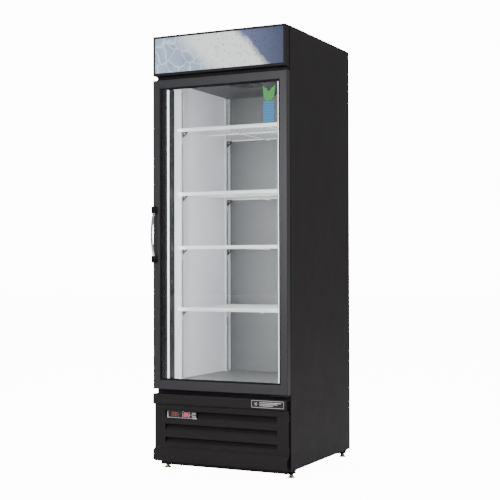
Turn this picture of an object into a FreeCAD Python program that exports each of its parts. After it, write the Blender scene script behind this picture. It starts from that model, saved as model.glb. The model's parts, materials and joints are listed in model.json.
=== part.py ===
import FreeCAD, Part
import math
import os

# Upright one-section merchandiser with a single swing glass door.
# Millimetres, +Z up, door towards -Y, hinge on the +X side.
# The origin is on the floor, under the middle of the outer box.

# ---- overall sizes ----
FOOT_HEIGHT = 36.0
CABINET_WIDTH = 686.0
CABINET_HEIGHT = 1991.0
CABINET_DEPTH = 723.0
HEADER_REACH = 45.0
HEADER_HEIGHT = 185.0
HEADER_INSET = 2.5
GRILLE_REACH = 45.0
GRILLE_HEIGHT = 314.0
GRILLE_LIFT = 7.0
DOOR_REACH = 40.0
DOOR_OVERHANG = 2.0
HEADER_GAP = 20.0
GRILLE_GAP = 21.0

# ---- walls ----
PANEL = 1.2
LINER = 1.0
SIDE_WALL = 52.0
REAR_WALL = 68.0
TOP_WALL = 50.0
FLOOR_WALL = 50.0
SILL_RISE = 33.0
FACE_FLANGE = 28.0
MOUTH_STEP = 3.0
MOUTH_DROP = 32.0
BREAKER_DEPTH = 38.0
BREAKER_WALL = 2.0
CROSS_RAIL = 50.0

# ---- door ----
DOOR_THICKNESS = 32.0
STILE_WIDTH = 36.5
TOP_RAIL_WIDTH = 39.0
BOTTOM_RAIL_WIDTH = 44.0
FRAME_WALL = 3.0
FRAME_BEVEL = 2.0
CORNER_KEY = 45.0
GLASS_BITE = 10.0
GLASS_LIP = 5.0
PANE = 4.0
PANE_SPACE = 12.0
SPACER_WIDTH = 7.0
GLASS_CLEAR = 0.15
GASKET_WIDTH = 14.0
GASKET_INSET = 17.0
GASKET_CLEAR = 0.4
HINGE_INSET = 15.0
PIN_RADIUS = 5.0
PIN_CLEAR = 0.05
PIN_ENGAGE = 18.0
BUSH_RADIUS = 8.0
BUSH_FLANGE = 11.0
BUSH_FLANGE_HEIGHT = 2.0
BUSH_DEPTH = 20.0
SEAT_CLEAR = 0.02
HINGE_PLATE = 4.0
HINGE_LENGTH = 80.0
HINGE_PLAY = 0.3
ROD_RADIUS = 3.0
SCREW_RADIUS = 4.0
SCREW_HEAD = 2.0
SCREW_INSET = 12.0

# ---- door handle ----
HANDLE_LENGTH = 264.0
HANDLE_REACH = 38.0
HANDLE_WIDTH = 11.0
HANDLE_THICKNESS = 6.0
HANDLE_MIDDLE = 1099.0
HANDLE_EDGE_GAP = 2.0
HANDLE_BITE = 10.0
HANDLE_MOUNT_HEIGHT = 34.0
HANDLE_MOUNT_REACH = 19.0
HANDLE_MOUNT_WIDTH = 22.0
HANDLE_MOUNT_ROUND = 5.0

# ---- shelves ----
SHELF_PLACES = (0.245, 0.452, 0.631, 0.8475)
TAB_SHARE = 0.7
SLOT_PITCH = 12.7
SLOT_WIDTH = 12.0
SLOT_HEIGHT = 9.0
PILASTER_WIDTH = 25.0
PILASTER_DEPTH = 8.0
PILASTER_WALL = 1.5
PILASTER_SETBACK = 135.0
PILASTER_REAR_GAP = 51.0
SHELF_SETBACK = 80.0
SHELF_REAR_GAP = 10.0
SHELF_SIDE_GAP = 3.0
SHELF_STRIP = 17.0
SHELF_STRIP_WALL = 2.0
SHELF_WIRE = 3.2
SHELF_ROD = 6.0
WIRE_PITCH = 22.0
WIRE_WELD = 0.7
SUPPORT_PITCH = 225.0
SUPPORT_OFFSET = 165.0
CLIP_REACH = 28.0
CLIP_HEIGHT = 33.0
CLIP_WALL = 5.0
CLIP_BAR = 6.5

# ---- lighting ----
LED_REACH = 15.0
LED_DEPTH = 44.0
LED_LENS = 11.0
LED_LENS_WALL = 2.0
LED_STEP = 2.0
LED_MARGIN = 5.0
LAMP_RADIUS = 8.0
SIGN_BORDER = 10.0
SIGN_WALL = 3.0

# ---- cold side ----
COVER_WALL = 2.0
COVER_REAR_GAP = 30.0
GUARD_SHARES = (0.25, 0.5, 0.75)
EVAP_FAN_RADIUS = 85.0
EVAP_FAN_SETBACK = 210.0
EVAP_FAN_LIFT = 22.0
EVAP_HUB_RADIUS = 20.0
EVAP_HUB_HEIGHT = 16.0
EVAP_MOTOR_RADIUS = 30.0
EVAP_MOTOR_LENGTH = 45.0
EVAP_MOTOR_LIFT = 18.0
EVAP_BAR_WIDTH = 16.0
EVAP_BAR_OVERLAP = 20.0
EVAP_COIL_DEPTH = 200.0
EVAP_COIL_WIDTH = 440.0
EVAP_COIL_HEIGHT = 95.0
EVAP_COIL_GAP = 20.0
EVAP_COIL_LIFT = 15.0
EVAP_ROWS = 2

# ---- fans ----
BLADE_COUNT = 5
BLADE_PITCH = 28.0
BLADE_WALL = 2.0
BLADE_CHORD_SHARE = 1.6
FAN_TIP_CLEAR = 5.0
SHAFT_RADIUS = 4.0
MOTOR_ROUND = 3.0

# ---- machine compartment ----
COIL_TUBE = 4.5
FIN_PITCH = 9.0
FIN_WALL = 2.0
CONDENSER_WIDTH = 300.0
CONDENSER_HEIGHT = 240.0
CONDENSER_DEPTH = 55.0
CONDENSER_MIDDLE = -60.0
CONDENSER_SETBACK = 32.0
CONDENSER_LIFT = 4.0
CONDENSER_ROWS = 4
CORE_SHARE = 0.46
SHROUD_DEPTH = 25.0
SHROUD_CLEAR = 4.0
COND_FAN_RADIUS = 100.0
COND_FAN_SETBACK = 32.0
COND_FAN_TIP_CLEAR = 4.0
COND_HUB_RADIUS = 24.0
COND_HUB_HEIGHT = 18.0
COND_MOTOR_RADIUS = 34.0
COND_MOTOR_LENGTH = 55.0
COND_MOTOR_GAP = 20.0
POST_WIDTH = 40.0
POST_WALL = 3.0
POST_SETBACK = 25.0
POST_FOOT = 50.0
COMPRESSOR_RADIUS = 92.0
COMPRESSOR_HEIGHT = 190.0
COMPRESSOR_SIDE_GAP = 160.0
COMPRESSOR_REAR_GAP = 230.0
COMPRESSOR_ROUND = 30.0
COMPRESSOR_WALL = 32.0
SEAM_REACH = 4.0
SEAM_HEIGHT = 6.0
SEAM_LIFT = 95.0
PLATE_LENGTH = 220.0
PLATE_DEPTH = 150.0
PLATE_WALL = 6.0
MOUNT_RADIUS = 12.0
MOUNT_HEIGHT = 14.0
MOUNT_INSET = 15.0
RELAY_REACH = 30.0
RELAY_BITE = 15.0
RELAY_WIDTH = 56.0
RELAY_HEIGHT = 70.0
RELAY_LIFT = 60.0
LINE_BEND = 18.0
LINE_RISE = 45.0
LINE_SIDE_GAP = 60.0
LINE_DROP = 40.0
CAPILLARY_RADIUS = 3.0
CAPILLARY_RISE = 20.0
CAPILLARY_RUN = 150.0
DRIER_SIDE_GAP = 130.0
DRIER_SETBACK = 230.0
DRIER_LIFT = 70.0
DRIER_RADIUS = 13.0
DRIER_LENGTH = 100.0
DRIER_NECK = 10.0
DRIER_ROUND = 6.0
TRAY_SIDE_GAP = 60.0
TRAY_REAR_GAP = 40.0
TRAY_LENGTH = 240.0
TRAY_DEPTH = 200.0
TRAY_HEIGHT = 45.0
TRAY_WALL = 2.0
CASE_SIDE_GAP = 25.0
CASE_SETBACK = 60.0
CASE_WIDTH = 90.0
CASE_DEPTH = 130.0
CASE_HEIGHT = 110.0
CASE_WALL = 2.0
CASE_ROUND = 4.0
BASE_RAIL = 13.0
BASE_RAIL_WIDTH = 90.0
BASE_RAIL_INSET = 17.0
BASE_WALL = 2.0
BASE_FLANGE = 25.0

VENT_COLUMNS = 4
VENT_ROWS = 9
VENT_LENGTH = 100.0
VENT_HEIGHT = 7.0
VENT_SPACING = 135.0
VENT_PITCH = 22.0
VENT_FIRST = 40.0
POWER_RADIUS = 11.0
POWER_LENGTH = 12.0
POWER_COLLAR = 4.0
POWER_SIDE_GAP = 45.0
POWER_LIFT = 90.0
CORD_RADIUS = 4.5

# ---- front grille ----
SHEET = 1.5
GRILLE_RECESS = 18.0
GRILLE_GAP_BEHIND = 12.0
BAND_TOP = 44.0
BAND_BOTTOM = 49.0
BAND_SLOPE_TOP = 8.0
BAND_SLOPE_BOTTOM = 15.0
BAND_EDGE = 12.0
LOUVRE_MARGIN = 56.0
LOUVRE_HEIGHT_SHARE = 0.1566
LOUVRE_PITCH_SHARE = 0.3131
LOUVRE_FIRST_SHARE = 0.1263
LOUVRE_DEPTH = 23.0
LOUVRE_COUNT = 3
GRILLE_POST_WIDTH = 20.0
GRILLE_POST_HEIGHT = 30.0
GRILLE_POST_GAP = 6.0
GRILLE_POST_LIFT = 70.0
BADGE_WIDTH = 160.0
BADGE_HEIGHT = 33.0
BADGE_EDGE = 14.0
BADGE_ROUND = 3.0

# ---- controller ----
BEZEL_WIDTH = 156.0
BEZEL_HEIGHT = 33.0
BEZEL_PROUD = 3.0
BEZEL_DEPTH = 22.0
BEZEL_OFFSET = 12.0
DISPLAY_WIDTH = 44.0
DISPLAY_HEIGHT = 23.0
DISPLAY_DEPTH = 4.0
DISPLAY_MARGIN = 18.0
KEY_WIDTH = 20.0
KEY_HEIGHT = 9.0
KEY_DEPTH = 10.0
KEY_TRAVEL = 1.5
KEY_MARGIN = 14.0
KEY_OFFSET = 6.5
ROCKER_WIDTH = 28.0
ROCKER_HEIGHT = 21.0
ROCKER_ANGLE = 8.0
ROCKER_OFFSET = 22.0
ROCKER_PIVOT = 9.0
ROCKER_REACH = 10.5
ROCKER_BACK = 3.0
MOVING_CLEAR = 0.4

# ---- levelling feet ----
FOOT_INSET = 23.0
FOOT_SETBACK = 54.0
FOOT_PAD = 17.0
FOOT_STEM = 5.0
FOOT_PLATE = 5.0
FOOT_PLATE_SIZE = 50.0
FOOT_REAR_SETBACK = 46.0
FOOT_TAPER = 3.0
FOOT_PAD_HEIGHT = 6.0
FOOT_NUT = 11.0
FOOT_NUT_HEIGHT = 8.0
FOOT_STEM_TOP = 4.0

# ---- places worked out from the sizes above ----
HALF = CABINET_WIDTH / 2
OVERALL_DEPTH = HANDLE_REACH + DOOR_REACH + CABINET_DEPTH + SCREW_HEAD
DOOR_FRONT = HANDLE_REACH - OVERALL_DEPTH / 2
FACE_Y = DOOR_FRONT + DOOR_REACH
BACK_Y = FACE_Y + CABINET_DEPTH
DOOR_BACK = DOOR_FRONT + DOOR_THICKNESS

BASE_Z = FOOT_HEIGHT
TOP_Z = BASE_Z + CABINET_HEIGHT
HEADER_Z = TOP_Z - HEADER_HEIGHT
HEADER_WIDTH = CABINET_WIDTH - 2 * HEADER_INSET
GRILLE_Z = BASE_Z + GRILLE_LIFT
DOOR_Z = GRILLE_Z + GRILLE_HEIGHT + GRILLE_GAP
DOOR_TOP = HEADER_Z - HEADER_GAP
DOOR_HALF = HALF + DOOR_OVERHANG
FLOOR_Z = DOOR_Z + SILL_RISE
ROOM_TOP = TOP_Z - TOP_WALL
COVER_Z = DOOR_TOP - COVER_WALL
MACHINE_TOP = FLOOR_Z - FLOOR_WALL

INNER_X = HALF - SIDE_WALL
INNER_BACK = BACK_Y - REAR_WALL
INNER_FRONT = FACE_Y + BREAKER_DEPTH
MOUTH_X = INNER_X + MOUTH_STEP
MOUTH_LOW = FLOOR_Z + BREAKER_WALL
MOUTH_TOP = DOOR_TOP - MOUTH_DROP
SKIN_LOW = MOUTH_LOW - FACE_FLANGE
SKIN_TOP = MOUTH_TOP + FACE_FLANGE
SKIN_X = HALF - FACE_FLANGE

HINGE_X = DOOR_HALF - HINGE_INSET
HINGE_Y = DOOR_FRONT + HINGE_INSET
PACK_FRONT = DOOR_FRONT + GLASS_LIP
PACK_DEPTH = 2 * PANE + PANE_SPACE

PILASTER_X = INNER_X - PILASTER_DEPTH
PILASTER_YS = (FACE_Y + PILASTER_SETBACK, INNER_BACK - PILASTER_REAR_GAP)
SHELF_FRONT = FACE_Y + SHELF_SETBACK
SHELF_BACK = INNER_BACK - SHELF_REAR_GAP
SHELF_HALF = PILASTER_X - SHELF_SIDE_GAP
SLOT_COUNT = int((COVER_Z - FLOOR_Z) / SLOT_PITCH) - 2

LOUVRE_WIDTH = CABINET_WIDTH - 2 * LOUVRE_MARGIN
MIDDLE_TOP = GRILLE_Z + GRILLE_HEIGHT - BAND_TOP - BAND_SLOPE_TOP
MIDDLE_HEIGHT = MIDDLE_TOP - GRILLE_Z - BAND_BOTTOM - BAND_SLOPE_BOTTOM
LOUVRE_HEIGHT = MIDDLE_HEIGHT * LOUVRE_HEIGHT_SHARE
LOUVRE_PITCH = MIDDLE_HEIGHT * LOUVRE_PITCH_SHARE
CONTROL_X = -LOUVRE_WIDTH / 2 + BEZEL_OFFSET + BEZEL_WIDTH / 2
GRILLE_FRONT = FACE_Y - GRILLE_REACH
GRILLE_MID = GRILLE_FRONT + GRILLE_RECESS
LOUVRE_TOP = MIDDLE_TOP - MIDDLE_HEIGHT * LOUVRE_FIRST_SHARE
CONTROL_Z = LOUVRE_TOP - LOUVRE_HEIGHT / 2

X_AXIS = FreeCAD.Vector(1, 0, 0)
Y_AXIS = FreeCAD.Vector(0, 1, 0)
Z_AXIS = FreeCAD.Vector(0, 0, 1)


def at(x, y, z):
    return FreeCAD.Vector(x, y, z)


def box(x0, x1, y0, y1, z0, z1):
    return Part.makeBox(x1 - x0, y1 - y0, z1 - z0, at(x0, y0, z0))


def rod(radius, length, start, axis):
    return Part.makeCylinder(radius, length, start, axis)


def ring(outer, inner, length, start, axis):
    return rod(outer, length, start, axis).cut(rod(inner, length, start, axis))


def fuse(first, *others):
    return first.multiFuse(list(others)).removeSplitter()


def prism(points, direction):
    outline = Part.makePolygon([at(*point) for point in points + points[:1]])
    return Part.Face(outline).extrude(direction)


def group(solids):
    return Part.makeCompound(solids)


def mirrored(shape):
    return shape.mirror(at(0, 0, 0), X_AXIS)


def moved(shape, x=0.0, y=0.0, z=0.0):
    copy = shape.copy()
    copy.translate(at(x, y, z))
    return copy


def save(node, shape):
    shape.exportStep("parts/" + node + ".step")
    print(node, len(shape.Solids), round(shape.Volume / 1000.0, 1))


def tube(points, radius, bend):
    """A round tube along straight runs with a tangent arc at each corner."""
    corners = [at(*point) for point in points]
    edges = []
    start = corners[0]
    for here, ahead in zip(corners[1:-1], corners[2:]):
        arrive = (here - start).normalize()
        leave = (ahead - here).normalize()
        turn = arrive.getAngle(leave)
        reach = bend * math.tan(turn / 2)
        arc_start = here - arrive * reach
        arc_end = here + leave * reach
        sag = bend * (1 / math.cos(turn / 2) - 1)
        middle = here + (leave - arrive).normalize() * sag
        edges.append(Part.LineSegment(start, arc_start).toShape())
        edges.append(Part.Arc(arc_start, middle, arc_end).toShape())
        start = arc_end
    edges.append(Part.LineSegment(start, corners[-1]).toShape())
    heading = (corners[1] - corners[0]).normalize()
    section = Part.Wire(Part.makeCircle(radius, corners[0], heading))
    return Part.Wire(edges).makePipeShell([section], True, False)


# ---- outer skin and base ----

def side_panel():
    """Right outer skin: a flat sheet with a folded front flange."""
    sheet = box(HALF - PANEL, HALF, FACE_Y, BACK_Y, BASE_Z, TOP_Z)
    flange = box(SKIN_X, HALF - PANEL, FACE_Y, FACE_Y + PANEL, BASE_Z, TOP_Z)
    return fuse(sheet, flange)


def back_panel():
    inner = HALF - PANEL
    return box(-inner, inner, BACK_Y - PANEL, BACK_Y, MACHINE_TOP - PANEL, TOP_Z - PANEL)


def top_panel():
    """Roof sheet with a front flange that reaches down to the door seal."""
    inner = HALF - PANEL
    sheet = box(-inner, inner, FACE_Y + PANEL, BACK_Y, TOP_Z - PANEL, TOP_Z)
    flange = box(-SKIN_X, SKIN_X, FACE_Y, FACE_Y + PANEL, SKIN_TOP, TOP_Z)
    return fuse(sheet, flange)


def cross_rail():
    """Sheet under the insulation, with the front strip that carries the lower hinge."""
    inner = HALF - PANEL
    low = MACHINE_TOP - PANEL
    sheet = box(-inner, inner, FACE_Y + PANEL, BACK_Y - PANEL, low, MACHINE_TOP)
    strip = box(-SKIN_X, SKIN_X, FACE_Y, FACE_Y + PANEL, SKIN_LOW - CROSS_RAIL, SKIN_LOW)
    return fuse(sheet, strip)


def base_rail(y0):
    """Open-ended channel under the base pan."""
    half = HALF - BASE_RAIL_INSET
    low = BASE_Z - BASE_RAIL
    outer = box(-half, half, y0, y0 + BASE_RAIL_WIDTH, low, BASE_Z)
    hollow = box(-half, half, y0 + BASE_WALL, y0 + BASE_RAIL_WIDTH - BASE_WALL, low + BASE_WALL, BASE_Z)
    return outer.cut(hollow)


def foot_plates():
    """Thick plates welded under the base rails, threaded for the feet."""
    half = FOOT_PLATE_SIZE / 2
    top = BASE_Z - BASE_RAIL
    plates = []
    for x, y in foot_places():
        middle = x - math.copysign(half / 2, x)
        plates.append(box(middle - half, middle + half, y - half, y + half, top - FOOT_PLATE, top))
    return plates


def base_pan():
    inner = HALF - PANEL
    front = FACE_Y + PANEL
    top = BASE_Z + BASE_FLANGE
    outer = box(-inner, inner, front, BACK_Y, BASE_Z, top)
    hollow = box(-inner + BASE_WALL, inner - BASE_WALL, front + BASE_WALL, BACK_Y - BASE_WALL,
                 BASE_Z + BASE_WALL, top)
    rails = [base_rail(front), base_rail(BACK_Y - BASE_RAIL_WIDTH)]
    pan = fuse(outer.cut(hollow), *rails, *foot_plates())
    low = BASE_Z - BASE_RAIL - FOOT_PLATE
    holes = [rod(FOOT_STEM + PIN_CLEAR, BASE_Z + BASE_WALL - low, at(x, y, low), Z_AXIS)
             for x, y in foot_places()]
    return pan.cut(group(holes))


# ---- insulated box ----

def liner_panels():
    """Side, back, floor, ceiling and upper front sheets of the inner box."""
    edge = INNER_X + LINER
    right = box(INNER_X, edge, INNER_FRONT, INNER_BACK, FLOOR_Z, ROOM_TOP)
    back = box(-edge, edge, INNER_BACK, INNER_BACK + LINER, FLOOR_Z, ROOM_TOP)
    floor = box(-edge, edge, INNER_FRONT, INNER_BACK + LINER, FLOOR_Z - LINER, FLOOR_Z)
    ceiling = box(-edge, edge, INNER_FRONT, INNER_BACK + LINER, ROOM_TOP, ROOM_TOP + LINER)
    front = box(-edge, edge, INNER_FRONT - LINER, INNER_FRONT, MOUTH_TOP + BREAKER_WALL, ROOM_TOP)
    return group([mirrored(right), right, back, floor, ceiling, front])


def foam_insulation():
    """One block foamed in place between the outer skin and the liner."""
    outer_x = HALF - PANEL
    room_x = INNER_X + LINER
    block = box(-outer_x, outer_x, FACE_Y + BREAKER_WALL, BACK_Y - PANEL, MACHINE_TOP, TOP_Z - PANEL)
    room = box(-room_x, room_x, INNER_FRONT - LINER, INNER_BACK + LINER, FLOOR_Z - LINER, ROOM_TOP + LINER)
    mouth_x = MOUTH_X + BREAKER_WALL
    mouth = box(-mouth_x, mouth_x, FACE_Y, INNER_FRONT, FLOOR_Z - LINER, MOUTH_TOP + BREAKER_WALL)
    return block.cut(room).cut(mouth)


def breaker_side():
    """Right plastic strip from the face flange round into the cabinet mouth."""
    face = box(MOUTH_X, SKIN_X, FACE_Y, FACE_Y + BREAKER_WALL, SKIN_LOW, SKIN_TOP)
    back = box(MOUTH_X, MOUTH_X + BREAKER_WALL, FACE_Y, INNER_FRONT, MOUTH_LOW, MOUTH_TOP)
    return fuse(face, back)


def breaker_across(z_face0, z_face1, z_back):
    face = box(-MOUTH_X, MOUTH_X, FACE_Y, FACE_Y + BREAKER_WALL, z_face0, z_face1)
    back = box(-MOUTH_X, MOUTH_X, FACE_Y, INNER_FRONT - LINER, z_back, z_back + BREAKER_WALL)
    return fuse(face, back)


def breaker_strips():
    low = breaker_across(SKIN_LOW, MOUTH_LOW, MOUTH_LOW - BREAKER_WALL)
    high = breaker_across(MOUTH_TOP, SKIN_TOP, MOUTH_TOP)
    return group([mirrored(breaker_side()), breaker_side(), low, high])


# ---- header ----

def header_housing():
    """Folded tray with a border that holds the sign in front of the lamp."""
    half = HEADER_WIDTH / 2
    front = FACE_Y - HEADER_REACH
    outer = box(-half, half, front, FACE_Y, HEADER_Z, TOP_Z)
    hollow = box(-half + SHEET, half - SHEET, front + SHEET, FACE_Y - SHEET, HEADER_Z + SHEET, TOP_Z - SHEET)
    window = box(-half + SIGN_BORDER, half - SIGN_BORDER, front, front + SHEET,
                 HEADER_Z + SIGN_BORDER + SHEET, TOP_Z - SIGN_BORDER)
    return outer.cut(hollow).cut(window)


def header_sign():
    half = HEADER_WIDTH / 2 - SHEET - SEAT_CLEAR
    front = FACE_Y - HEADER_REACH + SHEET
    return box(-half, half, front, front + SIGN_WALL, HEADER_Z + SHEET, TOP_Z - SHEET - SEAT_CLEAR)


def header_lamp():
    """Tube lamp lying in two end holders on the back of the header."""
    half = HEADER_WIDTH / 2 - 4 * SIGN_BORDER
    y = FACE_Y - HEADER_REACH / 2
    z = HEADER_Z + 3 * SIGN_BORDER
    lamp = rod(LAMP_RADIUS, 2 * half, at(-half, y, z), X_AXIS)
    holder = box(half, half + SIGN_BORDER, y - LAMP_RADIUS, FACE_Y - SHEET, z - LAMP_RADIUS, z + LAMP_RADIUS)
    return fuse(lamp, holder, mirrored(holder))


# ---- door ----

def frame_bar(length, width):
    """Extruded bar along Z: width from x = 0 inwards, front face at y = 0, bevelled front edges."""
    bar = box(0, width, 0, DOOR_THICKNESS, 0, length)
    front = [edge for edge in bar.Edges
             if edge.BoundBox.YMax < GLASS_CLEAR and edge.BoundBox.ZLength > length / 2]
    bar = bar.makeChamfer(FRAME_BEVEL, front)
    chamber = box(FRAME_WALL, width - GLASS_BITE - 2 * FRAME_WALL, FRAME_WALL, DOOR_THICKNESS - FRAME_WALL,
                  CORNER_KEY, length - CORNER_KEY)
    return bar.cut(chamber)


def glass_pocket():
    half = DOOR_HALF - STILE_WIDTH + GLASS_BITE + GLASS_CLEAR
    low = DOOR_Z + BOTTOM_RAIL_WIDTH - GLASS_BITE - GLASS_CLEAR
    high = DOOR_TOP - TOP_RAIL_WIDTH + GLASS_BITE + GLASS_CLEAR
    return box(-half, half, PACK_FRONT, PACK_FRONT + PACK_DEPTH + GLASS_CLEAR, low, high)


def mitre(outer_a, outer_b, inner_b, inner_a):
    """Block over one side of the frame, bounded by the two corner mitres."""
    points = [(x, DOOR_FRONT, z) for x, z in (outer_a, outer_b, inner_b, inner_a)]
    return prism(points, at(0, DOOR_THICKNESS, 0))


def frame_corners():
    outer = [(-DOOR_HALF, DOOR_Z), (-DOOR_HALF, DOOR_TOP), (DOOR_HALF, DOOR_TOP), (DOOR_HALF, DOOR_Z)]
    inner_x = DOOR_HALF - STILE_WIDTH
    low = DOOR_Z + BOTTOM_RAIL_WIDTH
    high = DOOR_TOP - TOP_RAIL_WIDTH
    inner = [(-inner_x, low), (-inner_x, high), (inner_x, high), (inner_x, low)]
    return outer, inner


def hinge_bores():
    """Bores for the bushes at both ends of the hinge edge, joined by the closing rod's hole."""
    bores = [rod(ROD_RADIUS + SEAT_CLEAR, DOOR_TOP - DOOR_Z, at(HINGE_X, HINGE_Y, DOOR_Z), Z_AXIS)]
    for end, axis in ((DOOR_Z, Z_AXIS), (DOOR_TOP, -Z_AXIS)):
        bores.append(rod(BUSH_RADIUS + SEAT_CLEAR, BUSH_DEPTH, at(HINGE_X, HINGE_Y, end), axis))
    return fuse(*bores)


def frame_side(bar, index):
    outer, inner = frame_corners()
    after = (index + 1) % 4
    wedge = mitre(outer[index], outer[after], inner[after], inner[index])
    return bar.common(wedge).cut(glass_pocket()).cut(hinge_bores())


def upright(side):
    bar = frame_bar(DOOR_TOP - DOOR_Z, STILE_WIDTH)
    bar = moved(bar, -DOOR_HALF, DOOR_FRONT, DOOR_Z)
    return bar if side < 0 else mirrored(bar)


def stile_left():
    return frame_side(upright(-1), 0)


def stile_right():
    return frame_side(upright(1), 2)


def rail(width, top):
    bar = frame_bar(2 * DOOR_HALF, width)
    bar.rotate(at(0, 0, 0), Y_AXIS, 90)
    if top:
        return moved(bar, -DOOR_HALF, DOOR_FRONT, DOOR_TOP)
    flipped = bar.mirror(at(0, 0, 0), Z_AXIS)
    return moved(flipped, -DOOR_HALF, DOOR_FRONT, DOOR_Z)


def rail_top():
    return frame_side(rail(TOP_RAIL_WIDTH, True), 1)


def rail_bottom():
    return frame_side(rail(BOTTOM_RAIL_WIDTH, False), 3)


def pack_slab(y0, y1, shrink=0.0):
    half = DOOR_HALF - STILE_WIDTH + GLASS_BITE - shrink
    low = DOOR_Z + BOTTOM_RAIL_WIDTH - GLASS_BITE + shrink
    high = DOOR_TOP - TOP_RAIL_WIDTH + GLASS_BITE - shrink
    return box(-half, half, y0, y1, low, high)


def glass_panes():
    inner_front = PACK_FRONT + PANE + PANE_SPACE
    return group([pack_slab(PACK_FRONT, PACK_FRONT + PANE), pack_slab(inner_front, inner_front + PANE)])


def glass_spacer():
    front = PACK_FRONT + PANE
    back = front + PANE_SPACE
    return pack_slab(front, back, SHEET).cut(pack_slab(front, back, SHEET + SPACER_WIDTH))


def seal_ring(inset, width, y0, y1):
    half = DOOR_HALF - inset
    low = DOOR_Z + inset
    high = DOOR_TOP - inset
    outer = box(-half, half, y0, y1, low, high)
    return outer.cut(box(-half + width, half - width, y0, y1, low + width, high - width))


def door_gasket():
    """Magnetic seal: a base strip on the frame and a narrower bellows behind it."""
    middle = (DOOR_BACK + FACE_Y) / 2
    base = seal_ring(GASKET_INSET, GASKET_WIDTH, DOOR_BACK, middle)
    bellows = seal_ring(GASKET_INSET + SHEET, GASKET_WIDTH - 2 * SHEET, middle, FACE_Y - GASKET_CLEAR)
    return fuse(base, bellows)


def hinge_bush(end, way):
    """Flanged bush pressed into one end of the hinge stile."""
    axis = at(0, 0, way)
    body = rod(BUSH_RADIUS, BUSH_DEPTH, at(HINGE_X, HINGE_Y, end), axis)
    flange = rod(BUSH_FLANGE, BUSH_FLANGE_HEIGHT, at(HINGE_X, HINGE_Y, end), -axis)
    start = at(HINGE_X, HINGE_Y, end - way * BUSH_FLANGE_HEIGHT)
    bore = rod(PIN_RADIUS + PIN_CLEAR, BUSH_DEPTH + BUSH_FLANGE_HEIGHT, start, axis)
    return fuse(body, flange).cut(bore)


def hinge_bushes():
    return group([hinge_bush(DOOR_Z, 1), hinge_bush(DOOR_TOP, -1)])


def closing_rod():
    """Torsion rod inside the hinge stile, from bush to bush."""
    length = DOOR_TOP - DOOR_Z - 2 * BUSH_DEPTH
    return rod(ROD_RADIUS, length, at(HINGE_X, HINGE_Y, DOOR_Z + BUSH_DEPTH), Z_AXIS)


def hinge_bracket(end, way):
    """Angle on the cabinet face; its plate holds the pin outside the door's end."""
    near = end - way * (BUSH_FLANGE_HEIGHT + HINGE_PLAY)
    far = near - way * HINGE_PLATE
    right = HINGE_X + BUSH_FLANGE
    left = right - HINGE_LENGTH
    plate = box(left, right, HINGE_Y - BUSH_FLANGE, FACE_Y, min(near, far), max(near, far))
    upright_end = far - way * (HEADER_GAP - BUSH_FLANGE_HEIGHT - HINGE_PLAY - HINGE_PLATE - SHEET)
    web = box(left, right, FACE_Y - PANEL * 2, FACE_Y, min(far, upright_end), max(far, upright_end))
    hole = rod(PIN_RADIUS + SEAT_CLEAR, HINGE_PLATE, at(HINGE_X, HINGE_Y, min(near, far)), Z_AXIS)
    return fuse(plate, web).cut(hole)


def hinge_brackets():
    return group([hinge_bracket(DOOR_Z, 1), hinge_bracket(DOOR_TOP, -1)])


def hinge_pin(end, way):
    axis = at(0, 0, way)
    far = end - way * (BUSH_FLANGE_HEIGHT + HINGE_PLAY + HINGE_PLATE)
    length = abs(end - far) + PIN_ENGAGE
    shank = rod(PIN_RADIUS, length, at(HINGE_X, HINGE_Y, far), axis)
    head = rod(BUSH_RADIUS, SIGN_WALL, at(HINGE_X, HINGE_Y, far), -axis)
    return fuse(shank, head)


def hinge_pins():
    return group([hinge_pin(DOOR_Z, 1), hinge_pin(DOOR_TOP, -1)])


# ---- handle ----

def handle_x():
    return -DOOR_HALF + HANDLE_EDGE_GAP + HANDLE_MOUNT_WIDTH / 2


def door_handle():
    """Bowed pull bar: a rounded flat section turned about an axis behind the door."""
    half = HANDLE_LENGTH / 2 - HANDLE_MOUNT_HEIGHT + HANDLE_BITE
    bow = HANDLE_REACH - HANDLE_MOUNT_REACH + HANDLE_THICKNESS / 2
    radius = (half * half + bow * bow) / (2 * bow)
    front = DOOR_FRONT - HANDLE_REACH
    x0 = handle_x() - HANDLE_WIDTH / 2
    block = box(x0, x0 + HANDLE_WIDTH, front, front + HANDLE_THICKNESS,
                HANDLE_MIDDLE, HANDLE_MIDDLE + HANDLE_WIDTH)
    corners = [edge for edge in block.Edges if edge.BoundBox.ZLength > HANDLE_WIDTH / 2]
    block = block.makeFillet(HANDLE_THICKNESS / 3, corners)
    section = next(face for face in block.Faces if face.BoundBox.ZMax < HANDLE_MIDDLE + GLASS_CLEAR)
    sweep = math.degrees(math.asin(half / radius))
    centre = at(0, front + radius, HANDLE_MIDDLE)
    section.rotate(centre, X_AXIS, -sweep)
    return section.revolve(centre, X_AXIS, 2 * sweep)


def handle_mounts():
    """Two standoffs between the door stile and the ends of the bar, which sits in their inner ends."""
    half = HANDLE_MOUNT_WIDTH / 2
    reach = HANDLE_MOUNT_REACH
    mounts = []
    for way in (-1, 1):
        outer_end = HANDLE_MIDDLE + way * HANDLE_LENGTH / 2
        inner_end = outer_end - way * HANDLE_MOUNT_HEIGHT
        block = box(handle_x() - half, handle_x() + half, DOOR_FRONT - reach, DOOR_FRONT,
                    min(outer_end, inner_end), max(outer_end, inner_end))
        corners = [edge for edge in block.Edges if edge.BoundBox.YLength > reach / 2]
        mounts.append(block.makeFillet(HANDLE_MOUNT_ROUND, corners))
    return group(mounts).cut(group([door_handle()]))


# ---- shelf supports and shelves ----

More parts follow.
